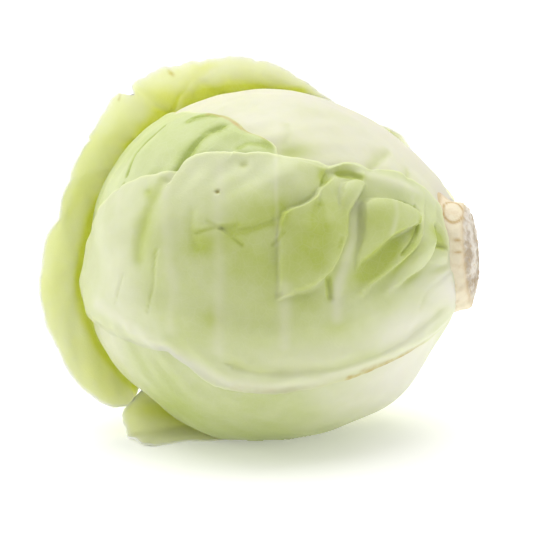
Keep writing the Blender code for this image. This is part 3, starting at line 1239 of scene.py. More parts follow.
TOP_LEAF = Leaf(
    piece="top_leaf",
    node="leaf_top",
    slot="blanched_leaf",
    chart=Chart(88, 352),
    outline=(
        (15, 300), (15, 325), (15, 352), (15, 15), (16, 45), (22, 60), (40, 62), (65, 60),
        (95, 56), (120, 50), (145, 48), (165, 60), (174, 330), (165, 280), (140, 287),
        (110, 290), (75, 290), (45, 290), (25, 290),
    ),
    cells=(150, 130),
    finish=BLANCHED,
    midrib=((94, 2), (40, 4), (-40, 3), (-80, 0)),
    midrib_height=0.9,
    midrib_width=9.0,
    bulges=(
        Swell((-5, -44), (30, 12), 4, 0.9), Swell((38, -46), (22, 10), -12, 0.8),
        Swell((25, -54), (7, 4), 40, -1.3), Swell((72, -28), (6, 9), 0, 0.7),
    ),
    creases=(
        Crease(((62, -42), (63.5, -32), (64.8, -25.8), (66, -15.6)), 0.9, 3.6, 1.2),
        Crease(((77.4, -25), (77.7, -19.7), (77.2, -15.4)), 0.8, 2.8, 1.0),
        Crease(((20.6, -37), (22.6, -43.4), (21.6, -49.3)), 0.4, 1.5, 2.5),
    ),
    ripple=0.35,
    green_level=0.05,
    # The first greener patch is painted shade in the dent; the second is the tissue's own green
    greens_and_shade=(Swell((26, -54), (9, 5), 30, 0.8), Swell((10, -46), (25, 8), 0, 0.15)),
)

UNDER_LEAF = Leaf(
    piece="under_leaf",
    node="leaf_under",
    slot="wrapper_leaf",
    chart=Chart(90, 172),
    outline=(
        (15, 118), (15, 145), (15, 172), (15, 200), (15, 225), (28, 240), (60, 243),
        (95, 240), (130, 238), (155, 236), (170, 190), (168, 130), (158, 96), (135, 92),
        (110, 96), (80, 104), (50, 106), (28, 108),
    ),
    cells=(150, 130),
    finish=UNDER,
    rest=2.3,
    ripple=0.45,
    ripple_length=21.0,
    green_level=0.5,
    greens_and_shade=(
        Swell((-20, 30), (40, 24), 0, 0.4), Swell((50, 40), (30, 20), 0, -0.3),
        Swell((-80, 40), (20, 30), 0, -0.4),
    ),
    pales=(Swell((70, 20), (30, 40), 0, 0.9),),
)

CROWN_FOLD = (
    (20, -31), (27.9, -23.3), (32.5, -18.2), (35.3, -14.8), (39.3, -11.3), (44.4, -9),
)
CROWN_WRINKLE = (
    (-2.6, -10.7), (0, -6.3), (3.1, -0.7), (8.4, 3.3), (12.8, 5.3), (16.5, 7.6),
)

CROWN_LEAF = Leaf(
    piece="crown_leaf",
    node="leaf_crown",
    slot="wrapper_leaf",
    chart=Chart(128, 20),
    outline=(
        (75, 39), (76, 33), (81, 31), (86, 28), (91, 21), (100, 14), (106, 9), (113, 0),
        (116, 352), (124, 345), (137, 336), (150, 325), (163, 300), (173, 230), (168, 130),
        (158, 95), (142, 80), (122, 72), (100, 66), (82, 60), (76, 50),
    ),
    cells=(170, 150),
    finish=WRAPPER,
    thickness=1.2,
    base_extra=0.0,
    rim_fade=6.0,
    bulges=(
        Swell((16, 2), (20, 16), 40, 1.2), Swell((-18, -6), (16, 26), 0, 1.2),
        Swell((-46, 8), (24, 24), 0, 1.0),
        Cliff(
            Swell((40, -20), (12, 10), 40, 2.2),
            (((45, -8), (39.3, -11.3), (35.3, -14.8), (32.5, -18.2), (27.9, -23.3), (22, -29)),),
            0.8,
        ),
        Cliff(
            Swell((57, -25), (8, 4), 0, 1.2),
            (((64, -20.8), (61.8, -20.5), (54.9, -20.7), (51.6, -23.1), (49.5, -25.8)),),
            0.7,
        ),
        Cliff(
            Swell((8, -7), (9, 7), 50, 1.0),
            (CROWN_WRINKLE[::-1],),
            0.6,
        ),
    ),
    creases=(
        Crease(CROWN_FOLD, 1.6, 2.6, 0.7),
        Crease(CROWN_WRINKLE, 1.1, 1.0, 0.6),
        Crease(((-6.5, -17.5), (-5.2, -14.1)), 0.5, 0.8, 0.8),
        Crease(((29.8, 2.4), (30.8, 4.9), (34.1, 5.0), (37.3, 5.0)), 0.9, 0.8, 1.2),
    ),
    green_level=0.35,
    # The small greener patches are painted shade beside the folds and the overhang; the broad
    # last one pales the tissue
    greens_and_shade=(
        Swell((30, -20), (6, 9), 40, 0.35), Swell((47, -14), (12, 6), -25, 0.3),
        Swell((12, -22), (5, 3), 0, 0.35), Swell((32, 3), (5, 2), 0, 0.6),
        Swell((64, -20), (3, 5), 0, 0.5), Swell((-20, 0), (20, 24), 0, -0.15),
    ),
    # The greener lines are painted shade along the folds and the wrinkle
    shade_lines=(
        Vein(CROWN_FOLD, 1.7, 1.0),
        Vein(CROWN_WRINKLE, 1.1, 1.0),
        Vein(((-6.5, -17.5), (-5.2, -14.1)), 1.2, 0.7),
        Vein(((29.8, 2.4), (30.8, 4.9), (34.1, 5.6), (38, 5.4), (42, 3)), 1.5, 1.0),
        Vein(((61.8, -20.5), (54.9, -20.7), (51.6, -23.1)), 1.2, 0.7),
    ),
    tears=(
        Tear(((37, 6.4), (40, 5.4), (45.1, 0.2), (49.2, -4.5), (52.6, -9.6), (55.7, -12.3),
              (60.1, -13.8), (62.6, -16.2)), 0.9, 1.0),
    ),
)

FRONT_GULLY = (
    (46.3, 20.4), (46.9, 24.1), (48.4, 26.3), (50.8, 29.5), (54, 33.5), (56.5, 37), (58, 42),
)

FRONT_LEAF = Leaf(
    piece="front_leaf",
    node="leaf_front",
    slot="puckered_leaf",
    chart=Chart(88, 80),
    outline=(
        (14.5, 80), (15, 62), (17, 42), (18, 25), (24, 19), (35, 25), (45, 33), (49, 33),
        (55, 36), (59, 39.5), (63, 38), (71, 39), (86, 39), (95, 38), (103, 38), (108, 41),
        (115, 40), (128, 37), (142, 36), (155, 38), (165, 48), (171, 84), (163, 112),
        (150, 111), (134, 108), (117, 106), (109, 111), (101, 118), (90, 121), (74, 124),
        (63, 125), (58.5, 126.3), (53.6, 127.3), (47.9, 129), (43.9, 131), (35.4, 136.5),
        (26, 149), (21, 161), (18, 168), (14.5, 140), (14.5, 110),
    ),
    cells=(250, 180),
    finish=PUCKERED,
    dense=(0.2, 0.14),
    thickness=1.2,
    rim_fade=4.5,
    midrib=(
        (106, -34), (94, -40), (77, -43), (64, -45), (50, -46), (30, -49), (10, -50),
        (-10, -47), (-25, -39), (-50, -24), (-75, -10),
    ),
    midrib_height=1.2,
    midrib_width=5.0,
    soft=(Swell((-60, -25), (52, 18), -22, 1.4), Swell((10, -54), (26, 8), 0, 1.0)),
    bulges=(
        Cliff(
            Swell((34, 12), (20, 27), 8, 6.0),
            (
                ((24.4, -6.6), (30.7, -4.7), (34.2, -2.3), (38.1, 0.9), (41.1, 5.1),
                 (42.9, 9.6), (44.9, 14), *FRONT_GULLY),
                ((46, 46), (42.8, 42), (39.3, 38.9), (35.5, 35.7), (33.1, 32.1),
                 (30.8, 30.2), (27.2, 28.4), (22.5, 27.2), (19.5, 25.5), (17.6, 21.4),
                 (17.2, 17.8), (17, 10), (16, -4), (14, -14)),
            ),
            0.8,
        ),
        Cliff(
            Swell((27, 41), (11, 10), 0, 3.4),
            (((34.5, 32), (36.3, 37.9), (37.9, 41.8), (39.7, 44.7), (42, 50)),),
            0.8,
        ),
        Cliff(
            Swell((49, 33), (9, 7), 20, 3.6),
            (
                ((58, 33), (56.6, 36.5), (54.6, 38.7), (51.6, 39.3), (48.9, 38.6),
                 (46.4, 37.6), (44.7, 35.3), (43.6, 31)),
                FRONT_GULLY,
            ),
            0.7,
        ),
        Swell((47, 46.6), (8, 1.7), 2, 2.2), Swell((68, 39.5), (16, 4.5), -16, 1.6),
        Cliff(
            Swell((64, 21), (19, 14), 10, 6.2),
            (
                ((59, 31.5), (56.7, 30), (53.9, 28.6), (53.2, 25.9), (52.7, 21.4),
                 (52.3, 17), (51, 10), (50, 0)),
                ((46, -7), (47.6, -3.6), (49.3, -1.2), (52.5, 2.9), (57.1, 5.9),
                 (59.8, 8.8), (63.6, 12.2), (68.7, 14.0), (75.9, 16.7)),
                ((66, 1), (69.5, 5.5), (73, 9.5), (77, 15), (79, 20), (78, 24),
                 (74.5, 26.2), (70, 27.8), (66, 29), (62, 29.9), (59.1, 30.3), (57, 30),
                 (54.5, 28.6)),
            ),
            0.7,
        ),
        Cliff(
            Swell((68, 2), (23, 6), 48, 4.4),
            (((46, -14), (50.9, -12), (57.5, -6.6), (62, -3.7), (66.9, -0.3), (71, 3.6),
              (75, 7.5), (79, 12), (83, 20)),),
            0.7,
        ),
        Cliff(
            Swell((80, 4), (17, 6.5), 50, 4.4),
            (((66, -11.5), (69.9, -9.2), (73.3, -6.9), (78, -4.8), (81.4, -2.6),
              (83.6, 1.5), (84.4, 5.1), (87, 12), (91, 20)),),
            0.8,
        ),
        Cliff(
            Swell((91, 1), (6, 3.4), 20, 2.0),
            (((84.5, -1.5), (90.6, -3.2), (94, -2.6), (98, 0.5)),),
            0.6,
        ),
        Swell((94.4, 11), (7, 1.8), -62, 1.5),
        Swell((7, 30), (9, 8), 0, 2.0), Swell((5, 12), (11, 12), 0, 1.5),
        Swell((-12, 32), (9, 12), 0, 1.2), Swell((25, -14), (11, 7), 0, 1.2),
        Swell((-34, 24), (9, 20), 0, 1.0), Swell((-58, 16), (18, 26), 0, 1.5),
        Swell((-8, -14), (22, 18), 0, 1.2), Swell((44, -20), (12, 9), 0, 1.0),
        Swell((92, -14), (14, 14), 0, 1.2),
    ),
    creases=(
        Crease(((-16.4, 20.6), (-11.7, 21.4), (-5.8, 22.1), (0.5, 22)), 0.7, 1.2, 0.8),
        Crease(((-5.9, 21.5), (-0.8, 20.2), (6.8, 20.9), (11.2, 22.2), (14.8, 23.2)),
               1.0, 1.2, 1.8),
        Crease(((-5.9, 21.5), (-2.2, 18.4), (2.1, 14.6)), 0.6, 0.8, 1.0),
        Crease(((-11.6, 24.8), (-9, 23.6), (-6.5, 22.1)), 0.4, 0.7, 0.7),
        Crease(((14.8, 13.7), (17.1, 15.8), (18.8, 17.8)), 0.6, 0.7, 0.7),
        Crease(((40.4, 11), (41.4, 13)), 0.5, 0.8, 0.8),
        Crease(((45, 42.8), (50.5, 42.4), (55, 40.4)), 1.3, 1.4, 1.4),
        Crease(((33.4, 27), (32.6, 22.3), (32.8, 18.6)), 0.9, 2.6, 2.6),
        Crease(((30.2, 10.6), (32, 4.3)), 0.6, 3.0, 3.0),
        Crease(((37.3, -3.2), (37.4, -7), (37.4, -11)), 1.3, 1.1, 1.1),
        Crease(((-33.7, 44.5), (-36.2, 36.9), (-40.4, 27.7), (-45.1, 18.6), (-46, 11.4)),
               0.8, 3.2, 3.2),
        Crease(((-18.3, 28.5), (-19, 22.1), (-17.8, 15.7)), 0.5, 2.6, 2.6),
        Crease(((-56.2, 5.4), (-58.7, -3.4), (-63, -8.8)), 0.6, 0.5, 0.5),
        Crease(((-35.9, 15), (-38.2, 5.3), (-39.8, -0.6), (-44, -12)), 0.5, 0.7, 0.6),
        Crease(((-40.9, 41), (-40.3, 41)), 0.7, 2.0, 2.0),
        Crease(((3.5, 48), (3.9, 48)), 0.7, 1.8, 1.8),
        Crease(((-7.4, 36.5), (-7.0, 36.5)), 1.2, 0.8, 0.8),
        Crease(((80.5, 26), (80, 21), (77.5, 15.5), (73, 9.8), (68, 4.6)), 1.4, 0.7, 0.45),
        Crease(((88.6, 15), (87.2, 11), (88.6, 7), (94.4, 4.6)), 1.8, 0.9, 1.3),
        Crease(((98, -6.5), (92.1, -8.7), (84.9, -12.3), (81, -16.5), (78.5, -22.2)),
               0.45, 1.2, 0.8),
        Crease(((90, -28), (82.9, -32.2), (73.9, -37), (62.4, -40.6), (50, -43), (38.3, -44.4),
                (28, -44), (15.9, -43), (4.9, -41.6), (-6.5, -38)), 0.8, 1.6, 4.0),
        Crease(((71, 29.2), (74, 28.6), (77, 26.6)), 0.7, 0.6, 0.6),
        Crease(((75.5, 27.8), (79, 26), (82, 23)), 0.6, 0.5, 0.5),
        Crease(((77.5, 24.6), (80, 23.4)), 0.8, 0.6, 0.6),
    ),
    veins=(
        Vein(((17.8, 53), (17.6, 47.8), (16.8, 39), (16.9, 30.8), (16.8, 23.1),
              (15.9, 13.3)), 1.1, 0.22, 0.18),
        Vein(((52, 29), (50.3, 25), (49.8, 20), (49, 14), (47, 8.4), (44.8, 1.4), (41.6, -6),
              (39.5, -14), (39, -20)), 2.6, 0.4, 0.0),
        Vein(((-30.8, 48), (-30.7, 37), (-29.6, 26.8), (-30.4, 13.9), (-29, 1), (-33, -20)),
             2.6, 0.2, 0.15),
        Vein(((-6.4, 48), (-6.9, 34), (-8, 10), (-10, -14), (-12, -30)), 2.8, 0.22, 0.15),
        Vein(((-59.3, 44), (-56.8, 30.6), (-56.9, 15), (-60, -5)), 2.4, 0.2, 0.15),
        Vein(((18, -4), (17.5, -14), (16, -30)), 3.2, 0.3, 0.1),
        Vein(((66.5, 29), (65.4, 22), (63, 14)), 1.3, 0.25, 0.2),
        Vein(((86, 36), (80, 30), (82, 22), (80, 12), (72, 0), (64, -12)), 1.4, 0.2, 0.1),
    ),
    pales=(
        Swell((97, -16), (18, 13), 0, 1.0), Swell((74, -32), (24, 14), 20, 0.8),
        Swell((30, -42), (40, 11), 0, 0.4), Swell((-60, 0), (14, 34), 0, 0.3),
        Swell((72, 38), (16, 3), -18, 0.5),
    ),
    green_level=0.16,
    # Greener patches: the tissue's own green over broad areas, and painted shade in the valleys,
    # hollows and under the overhanging pillows
    greens_and_shade=(
        Swell((34, 18), (20, 26), 0, 0.5), Swell((65, 17), (20, 17), 0, 0.4),
        Swell((0, 8), (26, 20), 0, 0.4), Swell((-13, 15), (7, 5), 0, 0.35),
        Swell((8, 30), (8, 9), 0, 0.2), Swell((-40, 20), (8, 22), 0, 0.25),
        Swell((18.5, 26), (3, 5), 0, 0.6), Swell((38, 41.5), (2.5, 3.5), 0, 0.9),
        Swell((51, 42), (6, 2), -10, 0.9), Swell((59, 3), (10, 3.5), 42, 1.2),
        Swell((72, 2), (9, 2.6), 50, 0.5), Swell((77, -7), (7, 2), 30, 0.7),
        Swell((89, 9.5), (3, 5), 30, 1.2), Swell((-39.6, 39), (3, 3), 0, 0.4),
        Swell((37.4, -7), (2, 6), 0, 0.5), Swell((75.5, 14), (1.5, 8), -30, 0.6),
        Swell((90, -5.4), (5, 1.6), 10, 1.0), Swell((28, -11), (6, 4), 0, 0.2),
        Swell((2, -20), (48, 24), 0, 0.28), Swell((58, -4), (12, 8), 40, 0.25),
        Swell((-13, -15.6), (4, 5), 0, 0.4), Swell((39, -24), (6, 6), 0, 0.3),
        Swell((63, -18), (7, 5), 0, 0.3),
    ),
    tears=(
        Tear(((122, -31), (112, -37.5), (104, -41.5), (95, -45.5), (84, -47.5)), 1.2, 0.8),
        Tear(((84, -47.5), (77, -48), (64, -50), (58, -50.5), (52, -51)), 2.6, 0.9),
        Tear(((52, -51), (46, -52.5), (43, -53.5)), 1.0, 0.9),
        Tear(((43, -54), (24, -55), (3, -53), (-8, -50)), 3.2, 0.22),
        Tear(((62, -48.5), (65, -48), (68, -48)), 1.0, 1.0),
        Tear(((44, -52), (46, -52.3)), 1.3, 1.0),
        Tear(((-7.4, 36.5), (-7.0, 36.5)), 0.6, 0.8),
    ),
)

LOW_OUTER_LEAF = Leaf(
    piece="low_outer_leaf",
    node="outer_leaf_low",
    slot="outer_leaf",
    chart=Chart(88, 206),
    hold=Hold.LOOSE,
    outline=(
        (15, 226), (15, 235), (15, 245), (20, 250), (40, 250), (70, 246), (100, 236),
        (120, 222), (129, 208), (134, 198), (137.7, 187.7), (138.3, 181.9), (138.7, 175),
        (138.3, 168.6), (138, 163.7), (136.1, 161.7), (134, 160.3), (131.7, 160.9),
        (128.8, 155.3), (125.9, 153.5), (123.4, 154.1), (121.3, 156.3), (117.9, 161.5),
        (111.4, 161.9), (105.4, 164.8), (97.9, 165.9), (90, 170), (80, 177), (72, 186),
        (60, 196), (49, 203), (35, 210), (24, 215),
    ),
    cells=(150, 110),
    finish=OUTER,
    thickness=1.4,
    gap=1.2,
    rest=0.0,
    midrib=((94, 4), (40, -6), (-10, -11), (-50, -8)),
    midrib_height=2.0,
    ripple=0.6,
    stand=(
        (-180, 1), (-90, 1), (0, 0), (90, 0), (104, 1), (114, 2), (121, 4), (128, 8),
        (131, 13.5), (134, 16.5), (142, 18.4), (144, 16.2), (149, 13.6), (152, 12),
        (156, 10.2), (160.5, 8), (164.5, 5.4), (170, 2.6),
    ),
    stand_from=0.5,
    ragged=0.6,
    ruffle=1.0,
    green_level=0.15,
    greens_and_shade=(Swell((-48, 30), (18, 5), -20, 0.7),),
)

BACK_FOLD = ((3.4, -51.5), (-3.8, -47.5), (-11, -43), (-16, -38))

BACK_OUTER_LEAF = Leaf(
    piece="back_outer_leaf",
    node="outer_leaf_back",
    slot="outer_leaf",
    chart=Chart(108, 296),
    hold=Hold.LOOSE,
    outline=(
        (15, 262), (15, 276), (15, 292), (28, 300), (40, 308), (50, 312), (58, 316),
        (66, 322), (74, 329), (81, 335), (88, 338), (95, 339), (104, 340), (113, 343),
        (121, 346), (123, 343), (126, 349), (133, 352), (140, 355), (150, 3), (160, 16),
        (165, 32),
        (169, 63), (167, 97), (162.8, 127), (160, 137.1), (155.2, 143.5), (150.9, 149.6),
        (148.4, 151.5), (145.4, 153.5), (142.8, 155.5), (140.4, 158.6), (139.3, 162.4),
        (138.6, 167.5), (137.8, 174), (137.2, 181), (138, 190), (139, 200), (137, 214),
        (127, 232), (105, 242), (70, 248), (40, 254), (20, 262),
    ),
    cells=(220, 180),
    finish=OUTER,
    thickness=1.4,
    rim=0.9,
    gap=0.9,
    midrib=((120, 0), (60, 1), (0, 2), (-50, 3)),
    midrib_height=3.6,
    midrib_width=5.5,
    ripple=0.7,
    ripple_length=24.0,
    stand=(
        (-180, 15.5), (-174, 15.8), (-168, 16.6), (-162, 15), (-156, 15), (-150, 12.8),
        (-144, 15), (-138, 15.4), (-132, 16.2), (-126, 18.4), (-120, 19), (-110, 18.5),
        (-102, 18.8), (-90, 17), (-80, 16), (-72, 13.8), (-66, 13.4), (-60, 10.2),
        (-54, 7.5), (-48, 6.5), (-40, 4.8), (-30, 3.2), (-22, 3), (-17, 6), (-12, 8),
        (-9, 6), (-5, 1.2), (0, 0.4), (40, 2), (90, 4), (134, 4.5), (139, 6.5), (142, 11),
        (150, 12.5), (156, 15.5), (162, 17.2), (168, 17.2), (174, 16.8),
    ),
    stand_from=0.42,
    ragged=0.4,
    ruffle=0.9,
    nicks=((-120.5, 2.2, 3.2), (-139, 1.6, 1.3), (-160, 1.8, 1.2), (-70, 2.0, 0.8)),
    creases=(
        Crease(((13, -57), *BACK_FOLD), -1.8, 3.0, 1.1),
        Crease(((-30, -52), (-27, -46), (-24, -40)), -0.9, 3.0, 2.0),
    ),
    veins=(Vein(BACK_FOLD, 1.0, 0.6),),
    green_level=0.12,
    # The greener patches are painted shade beside the fold
    greens_and_shade=(Swell((-18, -46), (8, 4), 30, 0.6), Swell((0, -54), (5, 3), -30, 0.4),
            Swell((-12, -38), (8, 3), 0, 0.4)),
    # The greener line is painted shade, with the yellow-green of light passing through, along the
    # strip where the leaf meets the head
    shade_lines=(
        Vein(((38, -39), (18.8, -41.2), (6.3, -43.2), (-4.5, -41.8), (-13, -40), (-21, -37.3),
              (-28, -37.7), (-35, -34.6), (-46, -28.6), (-56, -21), (-66, -16), (-73, -10.6),
              (-80, -5), (-85, 0.2), (-90.3, 7.6), (-92.8, 17), (-97.2, 28), (-98.6, 37),
              (-97.8, 47), (-97.4, 56), (-93, 65), (-86, 71)), 3.4, 0.95),
    ),
    tears=(
        Tear(((-13.6, -54), (-13, -53.5)), 0.8, 0.8),
        Tear(((-36, -53), (-33, -54.5)), 0.5, 0.5),
    ),
)


@dataclass(frozen=True)
class StalkFinish:
    """The finish of a cut stalk: cream sides, brown scars and a dry mottled face.

    Args:
        side: The colour of the sides.
        scar: The colour of scars and edges.
        pale: The pale patches of the dry face.
        dry: The dark patches of the dry face.
    """

    side: Colour = (0.80, 0.72, 0.54)
    scar: Colour = (0.48, 0.30, 0.08)
    pale: Colour = (0.74, 0.69, 0.60)
    dry: Colour = (0.42, 0.34, 0.24)

    def material(self, name: str) -> bpy.types.Material:
        """Make the finish as a material.

        Args:
            name: The material's name.

        Returns:
            The material.
        """
        tree = NodeTree(name)
        solid = tree.add("ShaderNodeTexCoord").outputs["Object"]
        cloud = tree.noise(solid, *CUT_CLOUD)
        grain = tree.noise(solid, *CUT_GRAIN)
        side = tree.mix(tree.ramp(cloud, 0.45, 0.8, 0.0, 0.45), self.side, self.scar)
        face = tree.mix(tree.ramp(cloud, 0.38, 0.62, 0.0, 1.0), self.pale, self.dry)
        face = tree.mix(tree.ramp(grain, 0.5, 0.75, 0.0, 0.6), face, self.scar)
        skin = tree.mix(tree.attribute("cut"), side, face)
        skin = tree.mix(tree.attribute("scar"), skin, self.scar)
        bump = tree.add("ShaderNodeBump")
        bump.inputs["Strength"].default_value = 0.6
        bump.inputs["Distance"].default_value = 0.0008
        tree.link(grain, bump.inputs["Height"])
        shader = tree.shader
        tree.link(skin, shader.inputs["Base Color"])
        tree.link(bump.outputs["Normal"], shader.inputs["Normal"])
        shader.inputs["Roughness"].default_value = 0.75
        shader.inputs["Subsurface Weight"].default_value = 0.15
        shader.inputs["Subsurface Radius"].default_value = (1.0, 0.8, 0.4)
        shader.inputs["Subsurface Scale"].default_value = 0.002
        return tree.material


@dataclass
class Stalk:
    """The cut stump with the scars of its broken leaves.

    Args:
        profile: The stump's outline as axial places and radii.
        steps: How many steps go round it.
        fine: The longest step along the outline.
        stub: The turn and the axial place of the broken leaf base.
        stub_size: Its half width in degrees and its half length.
        heel: How far the lower side stands out.
        heel_spread: How many degrees that reaches each way.
        shard: How far the short point at the top stands out.
        shard_place: Its turn and axial place.
        shard_size: Its half width in degrees and its half length.
        grooves: How many grooves run along the stump.
        core: The radius inside which the sides' unevenness fades.
        face_start: The axial place where the cut face begins.
        dish: How deep the cut face is hollowed.
        dish_radius: How wide that hollow is.
        scars: The turn, axial place and half width in degrees of each small scar.
        finish: Its finish.
    """

    profile: Points = (
        (76.6, 0.0), (76.6, 24.6), (80.4, 23.2), (84.0, 22.2), (87.0, 21.6), (88.6, 20.8),
        (90.4, 18.4), (91.8, 14.0), (92.8, 9.0), (93.5, 4.0), (93.7, 0.0),
    )
    steps: int = 180
    fine: float = 0.9
    stub: tuple[float, float] = (24.0, 85.2)
    stub_size: tuple[float, float] = (17.0, 4.2)
    heel: float = 3.0
    heel_spread: float = 50.0
    shard: float = 3.2
    shard_place: tuple[float, float] = (-2.0, 78.5)
    shard_size: tuple[float, float] = (14.0, 3.0)
    grooves: float = 9.0
    core: float = 12.0
    face_start: float = 88.6
    dish: float = 0.5
    dish_radius: float = 16.0
    scars: tuple[tuple[float, float, float], ...] = (
        (62.0, 87.0, 2.2), (76.0, 87.0, 1.8), (50.0, 80.5, 5.0),
    )
    finish: StalkFinish = StalkFinish()

    def build(self) -> bpy.types.Object:
        """Make the stump.

        Returns:
            The stump's piece.
        """
        bm = bmesh.new()
        points = [
            bm.verts.new(HEAD_CENTRE + axial * STEM + radius * UPPER)
            for axial, radius in self._fine_profile()
        ]
        edges = [bm.edges.new(pair) for pair in zip(points[:-1], points[1:])]
        bmesh.ops.spin(
            bm, geom=points + edges, cent=HEAD_CENTRE, axis=STEM,
            angle=math.tau, steps=self.steps, use_merge=True,
        )
        bmesh.ops.remove_doubles(bm, verts=bm.verts, dist=0.001)
        self._roughen(bm)
        return make_piece(
            "cut_stalk", bm, self.finish.material("cut_stalk"), ("stalk",),
        )

    def _fine_profile(self) -> list[tuple[float, float]]:
        """Split the profile into short steps.

        Returns:
            Axial places and radii.
        """
        fine = [self.profile[0]]
        for (a0, r0), (a1, r1) in zip(self.profile[:-1], self.profile[1:]):
            count = max(1, round(math.hypot(a1 - a0, r1 - r0) / self.fine))
            fine += [
                (a0 + (a1 - a0) * i / count, r0 + (r1 - r0) * i / count)
                for i in range(1, count + 1)
            ]
        return fine

    def _roughen(self, bm: bmesh.types.BMesh) -> None:
        """Shape the stub and the uneven cut, and note where they and the scars are.

        Args:
            bm: The stump.
        """
        offsets = np.array([vert.co for vert in bm.verts]) - HEAD_CENTRE
        axial = offsets @ STEM
        ring = offsets - axial[:, None] * STEM
        radius = np.linalg.norm(ring, axis=1)
        around = np.degrees(np.arctan2(ring @ FRONT, ring @ UPPER))
        ring /= np.maximum(radius, LEAST)[:, None]

        from_stub = np.hypot(
            (around - self.stub[0]) / self.stub_size[0],
            (axial - self.stub[1]) / self.stub_size[1],
        )
        heel = sum(bell((around + side) / self.heel_spread) for side in (-180.0, 180.0))
        shard = bell((around - self.shard_place[0]) / self.shard_size[0])
        shard *= bell((axial - self.shard_place[1]) / self.shard_size[1])
        shell = smooth_step(radius / self.core)
        uneven = 0.25 * np.sin(np.radians(around) * self.grooves + 0.3 * axial)
        uneven += 0.3 * STUMP_WAVES.at(*offsets.T) - 0.4
        grow = 0.8 * bell(0.8 * from_stub) + uneven + self.heel * heel + self.shard * shard
        face = smooth_step((axial - self.face_start) / 1.6)
        dish = self.dish * face * smooth_step(1.0 - radius / self.dish_radius)
        rough = 0.3 * face * (CUT_WAVES.at(*offsets.T) - 1.0)
        moved = offsets + ring * (shell * grow * (1.0 - 0.7 * face))[:, None]
        moved += STEM * (rough - dish)[:, None]

        scar = self._scarring(axial, around, shell)
        scar = np.maximum(scar, 0.9 * bell((from_stub - 1.0) / 0.11) * shell * (1.0 - face))
        cut = bm.verts.layers.float.new("cut")
        brown = bm.verts.layers.float.new("scar")
        for index, vert in enumerate(bm.verts):
            vert.co = HEAD_CENTRE + moved[index]
            vert[cut] = float(face[index])
            vert[brown] = float(scar[index])

    def _scarring(
        self, axial: np.ndarray, around: np.ndarray, shell: np.ndarray,
    ) -> np.ndarray:
        """Give how brown the rim of the cut, the neck and the small scars are.

        Args:
            axial: The points' places along the stem axis.
            around: Their degrees round it.
            shell: 1 on the sides, falling to 0 at the axis.

        Returns:
            The browning of each point, from 0 to 1.
        """
        cut_rim = 0.35 * bell((axial - 89.2) / 0.7) * shell
        neck = 0.6 * bell((axial - 79.0) / 1.2)
        scar = np.maximum(cut_rim, neck)
        for turn, place, width in self.scars:
            away = np.hypot((around - turn) / width, (axial - place) / 1.8)
            scar = np.maximum(scar, 0.8 * bell(away))
        return scar


@dataclass(frozen=True)
class SoftLight:
    """A square soft light that looks at the head.

    Args:
        name: The light's name.
        place: Where it hangs, in metres.
        size: Its side, in metres.
        power: Its power, in watts.
    """

    name: str
    place: tuple[float, float, float]
    size: float
    power: float

    def hang(self) -> None:
        """Hang the light up and turn it to the head."""
        lamp = bpy.data.lights.new(self.name, "AREA")
        lamp.size = self.size
        lamp.energy = self.power
        item = bpy.data.objects.new(self.name, lamp)
        item.location = self.place
        to_head = Vector(HEAD_CENTRE * MM) - item.location
        item.rotation_euler = to_head.to_track_quat("-Z", "Y").to_euler()
        bpy.context.collection.objects.link(item)


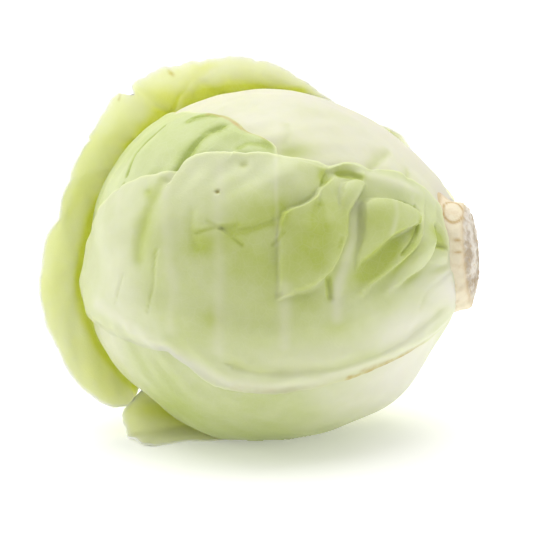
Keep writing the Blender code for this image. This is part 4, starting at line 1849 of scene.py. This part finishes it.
@dataclass
class Studio:
    """The plain floor, the soft lights and the camera.

    Args:
        elevation: The camera's height above the horizon, in degrees.
        distance: The camera's distance, in metres.
        frame_width: How wide a view the picture takes in, in metres.
        aim: How far the picture's middle is right of and above the head's centre.
        sensor: The width of the camera's sensor, in millimetres.
        clip: The nearest and the farthest that the camera sees, in metres.
        floor_half: Half the floor's side, in metres.
        floor_glow: How strongly the floor glows, as a lit white sweep does.
        world: How bright the surroundings are in front and behind.
        world_turn: Between which depths the one brightness turns into the other.
        lights: The soft lights.
    """

    elevation: float = 15.0
    distance: float = 1.6
    frame_width: float = 0.2284
    aim: tuple[float, float] = (0.00193, -0.00064)
    sensor: float = 36.0
    clip: tuple[float, float] = (0.1, 20.0)
    floor_half: float = 6.0
    floor_glow: float = 0.26
    world: tuple[float, float] = (0.2, 0.66)
    world_turn: tuple[float, float] = (-0.95, 0.0)
    lights: tuple[SoftLight, ...] = (
        SoftLight("key", (-0.2, 0.3, 2.3), 3.2, 62.0),
        SoftLight("right fill", (1.5, -0.7, 0.35), 0.9, 4.0),
        SoftLight("left fill", (-1.7, 0.1, 0.5), 0.9, 6.0),
    )

    def build(self) -> None:
        """Make the floor, the lights and the camera."""
        self._floor()
        self._world()
        for light in self.lights:
            light.hang()
        self._camera()

    def _floor(self) -> None:
        """Make the white floor."""
        bm = bmesh.new()
        bmesh.ops.create_grid(bm, x_segments=1, y_segments=1, size=self.floor_half)
        mesh = bpy.data.meshes.new("floor")
        bm.to_mesh(mesh)
        bm.free()
        material = bpy.data.materials.new("floor")
        material.use_nodes = True
        shader = material.node_tree.nodes["Principled BSDF"]
        shader.inputs["Base Color"].default_value = (0.90, 0.90, 0.90, 1.0)
        shader.inputs["Roughness"].default_value = 0.85
        shader.inputs["Specular IOR Level"].default_value = 0.1
        shader.inputs["Emission Color"].default_value = (1.0, 1.0, 1.0, 1.0)
        shader.inputs["Emission Strength"].default_value = self.floor_glow
        mesh.materials.append(material)
        floor = bpy.data.objects.new("floor", mesh)
        bpy.context.collection.objects.link(floor)

    def _world(self) -> None:
        """Make the white surroundings."""
        world = bpy.data.worlds.new("studio")
        world.use_nodes = True
        nodes, links = world.node_tree.nodes, world.node_tree.links
        background = nodes["Background"]
        background.inputs["Color"].default_value = (1.0, 1.0, 1.0, 1.0)
        way = nodes.new("ShaderNodeTexCoord")
        split = nodes.new("ShaderNodeSeparateXYZ")
        ramp = nodes.new("ShaderNodeMapRange")
        ramp.interpolation_type = "SMOOTHSTEP"
        ends = (*self.world_turn, *self.world)
        for name, value in zip(("From Min", "From Max", "To Min", "To Max"), ends):
            ramp.inputs[name].default_value = value
        links.new(way.outputs["Generated"], split.inputs["Vector"])
        links.new(split.outputs["Y"], ramp.inputs["Value"])
        links.new(ramp.outputs["Result"], background.inputs["Strength"])
        bpy.context.scene.world = world
        bpy.context.scene.view_settings.view_transform = "Standard"

    def _camera(self) -> None:
        """Set the camera up at the photograph's angle."""
        lens = bpy.data.cameras.new("camera")
        lens.sensor_width = self.sensor
        lens.lens = self.sensor * self.distance / self.frame_width
        lens.clip_start, lens.clip_end = self.clip
        rise = math.radians(self.elevation)
        up = Vector((0.0, math.sin(rise), math.cos(rise)))
        target = Vector(HEAD_CENTRE * MM) + Vector((self.aim[0], 0.0, 0.0)) + up * self.aim[1]
        camera = bpy.data.objects.new("camera", lens)
        back = Vector((0.0, -math.cos(rise), math.sin(rise)))
        camera.location = target + back * self.distance
        camera.rotation_euler = (math.pi / 2.0 - rise, 0.0, 0.0)
        bpy.context.collection.objects.link(camera)
        bpy.context.scene.camera = camera


def main() -> None:
    """Build the studio and the cabbage's pieces in order."""
    logging.basicConfig(level=logging.INFO, format="%(name)s: %(message)s")
    Studio().build()
    Wrapping(
        hugging=(BACK_LEAF, TOP_LEAF, UNDER_LEAF, CROWN_LEAF, FRONT_LEAF),
        loose=(LOW_OUTER_LEAF, BACK_OUTER_LEAF),
    ).build()
    Stalk().build()


if __name__ == "__main__":
    main()
